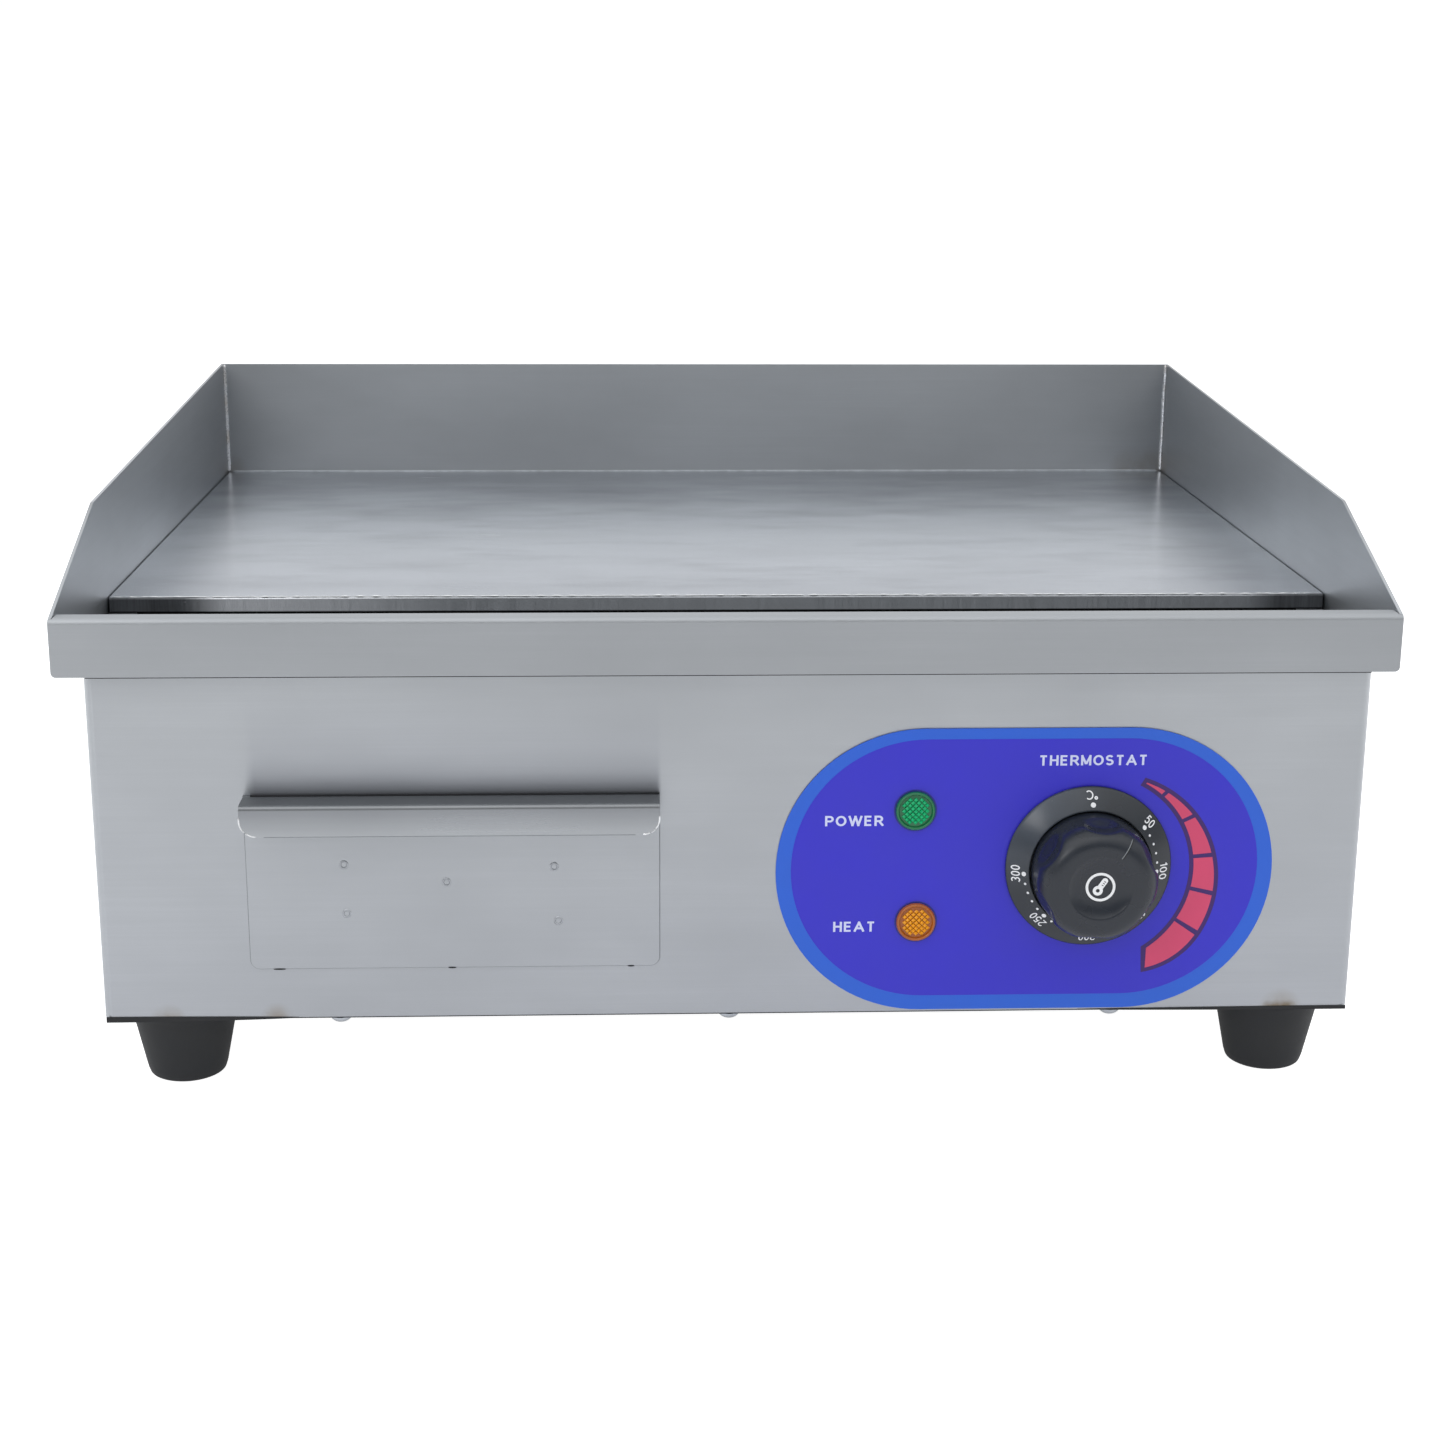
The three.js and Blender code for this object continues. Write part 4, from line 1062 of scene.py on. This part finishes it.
def knob_shape(radius, height, angle):
    """Cuts the six shallow finger scallops."""
    if radius > 15 and height > -6.3:
        phase = (angle % (math.pi / 3)) - math.pi / 6
        centre = GRIP + SCALLOP_RADIUS - SCALLOP_DEPTH
        inside = SCALLOP_RADIUS**2 - (centre * math.sin(phase)) ** 2
        if inside > 0:
            limit = centre * math.cos(phase) - math.sqrt(inside)
            over = radius - limit
            soft = 0.35
            cut = soft * math.log1p(math.exp(min(over / soft, 40)))
            fade = min(1, max(0, (height - 3) / 8))
            radius -= cut * fade * fade * (3 - 2 * fade) if over > -2 else 0
    return radius, height


def pointer_stripe(left, right):
    """A stripe over the knob's shoulder, along its pointer."""
    made = bmesh.new()
    rows = []
    for k in range(15):
        radius = 15.0 + 8.6 * k / 14
        rise = max(0.0, radius - GRIP + SHOULDER) / SHOULDER
        height = KNOB_FRONT - DOME + DOME * math.sqrt(1 - rise**2) + 0.05
        rows.append([made.verts.new(Vector((u, radius, height)) * MM) for u in (left, right)])
    for one, following in zip(rows, rows[1:]):
        made.faces.new([one[0], one[1], following[1], following[0]])
    return made


# The pointer's rib is two flat stripes: a painted shaded side and a painted lit side.
for name, shape, look, node in (
    ("knob_grip", revolved(knob_profile(), 360, knob_shape), knob_black, ["control_knob"]),
    ("knob_pointer_dark", pointer_stripe(-0.1, 0.45), shadow_black, []),
    ("knob_pointer_light", pointer_stripe(-0.42, -0.1), shade_and_highlight_grey, []),
):
    place = placed(DIAL_CENTRE[0], 0, DIAL_CENTRE[1], TO_FRONT, POINTER_ANGLE)
    piece(name, shape, look, "knob", node, place=place)


def thermometer():
    """The round badge on the knob: a ring and a thermometer leaning to the right."""
    bulb, half = 2.1, 1.25
    ring = flat([circle(0, 0, 6.2), circle(0, 0, 5.1)], 0.06)
    start = math.asin(half / bulb)
    lower, upper = math.degrees(math.pi / 2 + start), math.degrees(math.pi * 2.5 - start)
    outline = arc(0, -1.9, bulb, bulb, lower, upper, 32) + arc(0, 3.2, half, half, 0, 180, 12)
    marks = [
        [(-0.15, v), (0.75, v), (0.75, v + 0.35), (-0.15, v + 0.35)] for v in (0.9, 1.8, 2.7)
    ]
    sign = flat([outline, *marks, circle(0, -1.9, 0.8, 20)], 0.06)
    return merged([(ring, UPRIGHT), (sign, Matrix.Rotation(math.radians(-34), 4, "Z"))])


piece(
    "knob_badge",
    thermometer(),
    print_white,
    "knob",
    place=placed(DIAL_CENTRE[0], KNOB_Y[0] + 2.05, DIAL_CENTRE[1]),
)

# ---- lamps ----
BEZEL = [(6.7, 0), (8.4, 0), (8.4, 0.9), (8.1, 1.6), (7.6, 1.9), (7.1, 1.6), (6.9, 0.9)]
BEZEL += [(6.7, 0.6)]
PRISM_PITCH = 1.7


def prism_lens():
    """A round lens whose face is a field of four-sided prisms, laid diamondwise."""
    made = revolved([(0, 1.2), (3, 1.15), (7.0, 0.7), (7.0, 0.1), (0, 0.1)], 48)
    # The lens's floor takes the darker rim look: painted shade in the grooves between the prisms.
    for face in made.faces:
        face.material_index = 1
    reach, count = 5.9, 6
    for i in range(-count, count + 1):
        for j in range(-count, count + 1):
            u, v = (n * PRISM_PITCH / math.sqrt(2) for n in (i + j, i - j))
            away = math.hypot(u, v)
            if away > reach:
                continue
            half = 0.86 * PRISM_PITCH / math.sqrt(2)
            base = 1.1 + 0.9 * (1 - (away / reach) ** 2)
            rim = [(u + half, v), (u, v + half), (u - half, v), (u, v - half)]
            corners = [made.verts.new(Vector((a, b, base)) * MM) for a, b in rim]
            apex = made.verts.new(Vector((u, v, base + 0.9)) * MM)
            foot = made.verts.new(Vector((u, v, 0.5)) * MM)
            for one, following in zip(corners, corners[1:] + corners[:1]):
                made.faces.new([one, following, apex])
                made.faces.new([following, one, foot])
    return made


for name, look, rim in (("power", green_lens, green_rim), ("heat", amber_lens, amber_rim)):
    x, z = LAMPS[name]
    node = "lamp_lens_" + name
    spot = placed(x, 9.2, z)
    lens = piece("lamp_prism_" + name, prism_lens(), [look, rim], place=spot)
    lens.data.polygons.foreach_set("use_smooth", [False] * len(lens.data.polygons))
    piece(
        "lamp_bezel_" + name,
        revolved(filleted(BEZEL + BEZEL[:1], 0.3, 3)[:-1], 72),
        rim,
        stands_for=[node],
        place=spot,
    )

halos = [flat([circle(x, z, 9.1), circle(x, z, 8.0)], 0.05) for x, z in LAMPS.values()]
print_on_label("lamp_halos", merged([(halo, UPRIGHT) for halo in halos]), label_shadow)

# ---- feet and screws ----
FOOT_Z = extent("foot_front_left")[2]


def foot_profile():
    top = FOOT_Z[1]
    outer = [(8, 0), (14.3, 0), (16.2, 1.0), (17.2, 4), (22.4, top - 4), (23.3, top - 1.2)]
    outer.append((22.3, top))
    return filleted([*outer, (4, top), (4, 18), (8, 18), (8, 0)], 0.8, 4)[:-1]


for node in ("foot_front_left", "foot_front_right", "foot_rear_left", "foot_rear_right"):
    x, y, _ = centre_of(node)
    piece(
        node + "_rubber",
        revolved(foot_profile(), 96),
        rubber,
        stands_for=[node],
        place=placed(x, y, 0, UPRIGHT),
    )

SEAT = 3.0  # height of a screw's head
SCREW_HEAD = [(0, SEAT), (0.35, SEAT), (0.7, 2.98), (1.05, 2.95), (1.4, 2.9), (1.75, 2.82)]
SCREW_HEAD += [(2.1, 2.72), (2.8, 2.45), (3.5, 2.0), (4.2, 1.35), (4.6, 0.7), (4.7, 0.0)]
SCREW_HEAD += [(1.9, 0.0), (1.9, -9), (0, -10)]


def cross_recess(radius, height, angle):
    """Sinks a cross into a screw head."""
    if height < 2.6:
        return radius, height
    u, v = abs(radius * math.sin(angle)), abs(radius * math.cos(angle))
    if min(u, v) < 0.42 and max(u, v) < 2.0:
        height -= 1.1 * (1 - 0.35 * max(u, v))
    return radius, height


def hash_of(word):
    """A small number that is always the same for a word."""
    return sum(ord(letter) * (place + 3) for place, letter in enumerate(word))


def screws(prefix, facing):
    """Puts a head on each screw of a name, seated on the sheet that it holds."""
    for node in [name for name in NODES if name.startswith(prefix)]:
        spot = centre_of(node)
        if facing is TO_BELOW:
            spot[2] = extent(node)[2][0] + SEAT
        else:
            spot[1] = extent(node)[1][1] - SEAT
        piece(
            node + "_head",
            revolved(SCREW_HEAD, 64, cross_recess),
            zinc,
            stands_for=[node],
            place=placed(*spot, facing, hash_of(node) % 90 - 45),
        )


screws("base_screw", TO_BELOW)
screws("rear_panel_screw", TO_REAR)


def gland_shape(radius, height, angle):
    """The grip flutes round the gland's cap."""
    if 10 < radius < 11 and height > 6:
        radius -= 0.35 * (0.5 + 0.5 * math.cos(24 * angle))
    return radius, height


GLAND_X, GLAND_Y, GLAND_Z = extent("cable_gland")
GLAND_PROFILE = [(5, -12), (8, -12), (8, 0), (12, 0), (12, 5), (10.6, 5.6), (10.6, 16.6)]
GLAND_PROFILE += [(8.4, 20.6), (5, 20.6)]
piece(
    "cable_gland_body",
    revolved(filleted(GLAND_PROFILE + GLAND_PROFILE[:1], 0.5, 3)[:-1], 144, gland_shape),
    gland_black,
    stands_for=["cable_gland"],
    place=placed(sum(GLAND_X) / 2, GLAND_Y[1] - 20.8, sum(GLAND_Z) / 2, TO_REAR),
)

# ---- stage ----
FLOOR_GLOW = 0.97  # what the camera sees of the floor, just under white


def stage_floor():
    """A wide pale floor, white to the camera but a softer grey in reflections."""
    shape = bmesh.new()
    bmesh.ops.create_grid(shape, x_segments=1, y_segments=1, size=9)
    mesh = bpy.data.meshes.new("floor")
    shape.to_mesh(mesh)
    shape.free()
    shade = Shader("floor", roughness=0.9)
    patch = shade.noise(0.6, detail=2)
    glow = shade.ranged(shade.height("Y"), -1.6, 0.4, 0.16, 0.5)
    seen = shade.node("LightPath").outputs["Is Camera Ray"]
    strength = shade.node("Mix", data_type="FLOAT")
    shade.join(strength, 0, seen)
    shade.join(strength, 2, glow)
    shade.join(strength, 3, FLOOR_GLOW)
    shade.put(
        base_color=shade.mixed(patch, (0.62, 0.62, 0.63, 1), (0.66, 0.66, 0.67, 1)),
        emission_color=(1, 1, 1, 1),
        emission_strength=strength.outputs[0],
    )
    mesh.materials.append(shade.material)
    floor = shown("floor", mesh)
    floor.location.z = -0.0002


stage_floor()


def studio():
    """Light from all round: bright above and behind, dimmer in front, and white to the camera."""
    world = bpy.data.worlds.new("studio")
    bpy.context.scene.world = world
    world.use_nodes = True
    nodes, links = world.node_tree.nodes, world.node_tree.links
    split = nodes.new("ShaderNodeSeparateXYZ")
    links.new(nodes.new("ShaderNodeTexCoord").outputs["Generated"], split.inputs[0])

    def ramp(axis, low, high, to_low, to_high):
        made = nodes.new("ShaderNodeMapRange")
        made.interpolation_type = "SMOOTHSTEP"
        links.new(split.outputs[axis], made.inputs["Value"])
        for key, value in enumerate((low, high, to_low, to_high), 1):
            made.inputs[key].default_value = value
        return made.outputs["Result"]

    def blend(share, first, second):
        made = nodes.new("ShaderNodeMix")
        made.data_type = "FLOAT"
        links.new(share, made.inputs[0])
        links.new(first, made.inputs[2])
        made.inputs[3].default_value = second
        return made.outputs[0]

    level = blend(ramp("Z", 0.35, 0.9, 0.0, 1.0), ramp("Y", -0.95, 0.35, 0.25, 0.98), 1.1)
    seen = nodes.new("ShaderNodeLightPath").outputs["Is Camera Ray"]
    background = nodes["Background"]
    links.new(blend(seen, level, 1.03), background.inputs["Strength"])
    background.inputs["Color"].default_value = (0.985, 0.99, 1.0, 1)


studio()


def softbox(name, power, size, place, aim):
    light = bpy.data.lights.new(name, "AREA")
    light.energy = power
    light.shape = "RECTANGLE"
    light.size, light.size_y = size
    lamp = shown(name, light)
    lamp.location = place
    lamp.rotation_euler = (Vector(aim) - Vector(place)).to_track_quat("-Z", "Y").to_euler()


softbox("key", 7.5, (2.4, 1.6), (-0.7, -1.5, 1.7), (0, 0, 0.15))
softbox("fill", 3.5, (2.0, 1.4), (1.1, -1.4, 1.3), (0, 0, 0.1))
softbox("side", 4.5, (0.6, 0.6), (-1.3, -1.9, 1.1), (0.1, 0, 0.1))

# ---- camera ----
PITCH, YAW, ROLL = (math.radians(v) for v in (15.28, 2.44, 0.33))
LENS, SENSOR = 59.79238754, 36
CAMERA_PLACE = (-44.5, -947, 425.4)


def camera():
    data = bpy.data.cameras.new("camera")
    data.sensor_width, data.lens = SENSOR, LENS
    data.clip_start, data.clip_end = 0.05, 60
    made = shown("camera", data)
    ahead = Vector(
        (math.sin(YAW) * math.cos(PITCH), math.cos(YAW) * math.cos(PITCH), -math.sin(PITCH))
    )
    right = Vector((math.cos(YAW), -math.sin(YAW), 0))
    up = right.cross(ahead)
    level_right = right * math.cos(ROLL) + up * math.sin(ROLL)
    level_up = up * math.cos(ROLL) - right * math.sin(ROLL)
    turn = Matrix((level_right, level_up, -ahead)).transposed()
    made.matrix_world = Matrix.Translation(at(*CAMERA_PLACE)) @ turn.to_4x4()
    bpy.context.scene.camera = made


camera()
bpy.context.scene.view_settings.view_transform = "Standard"
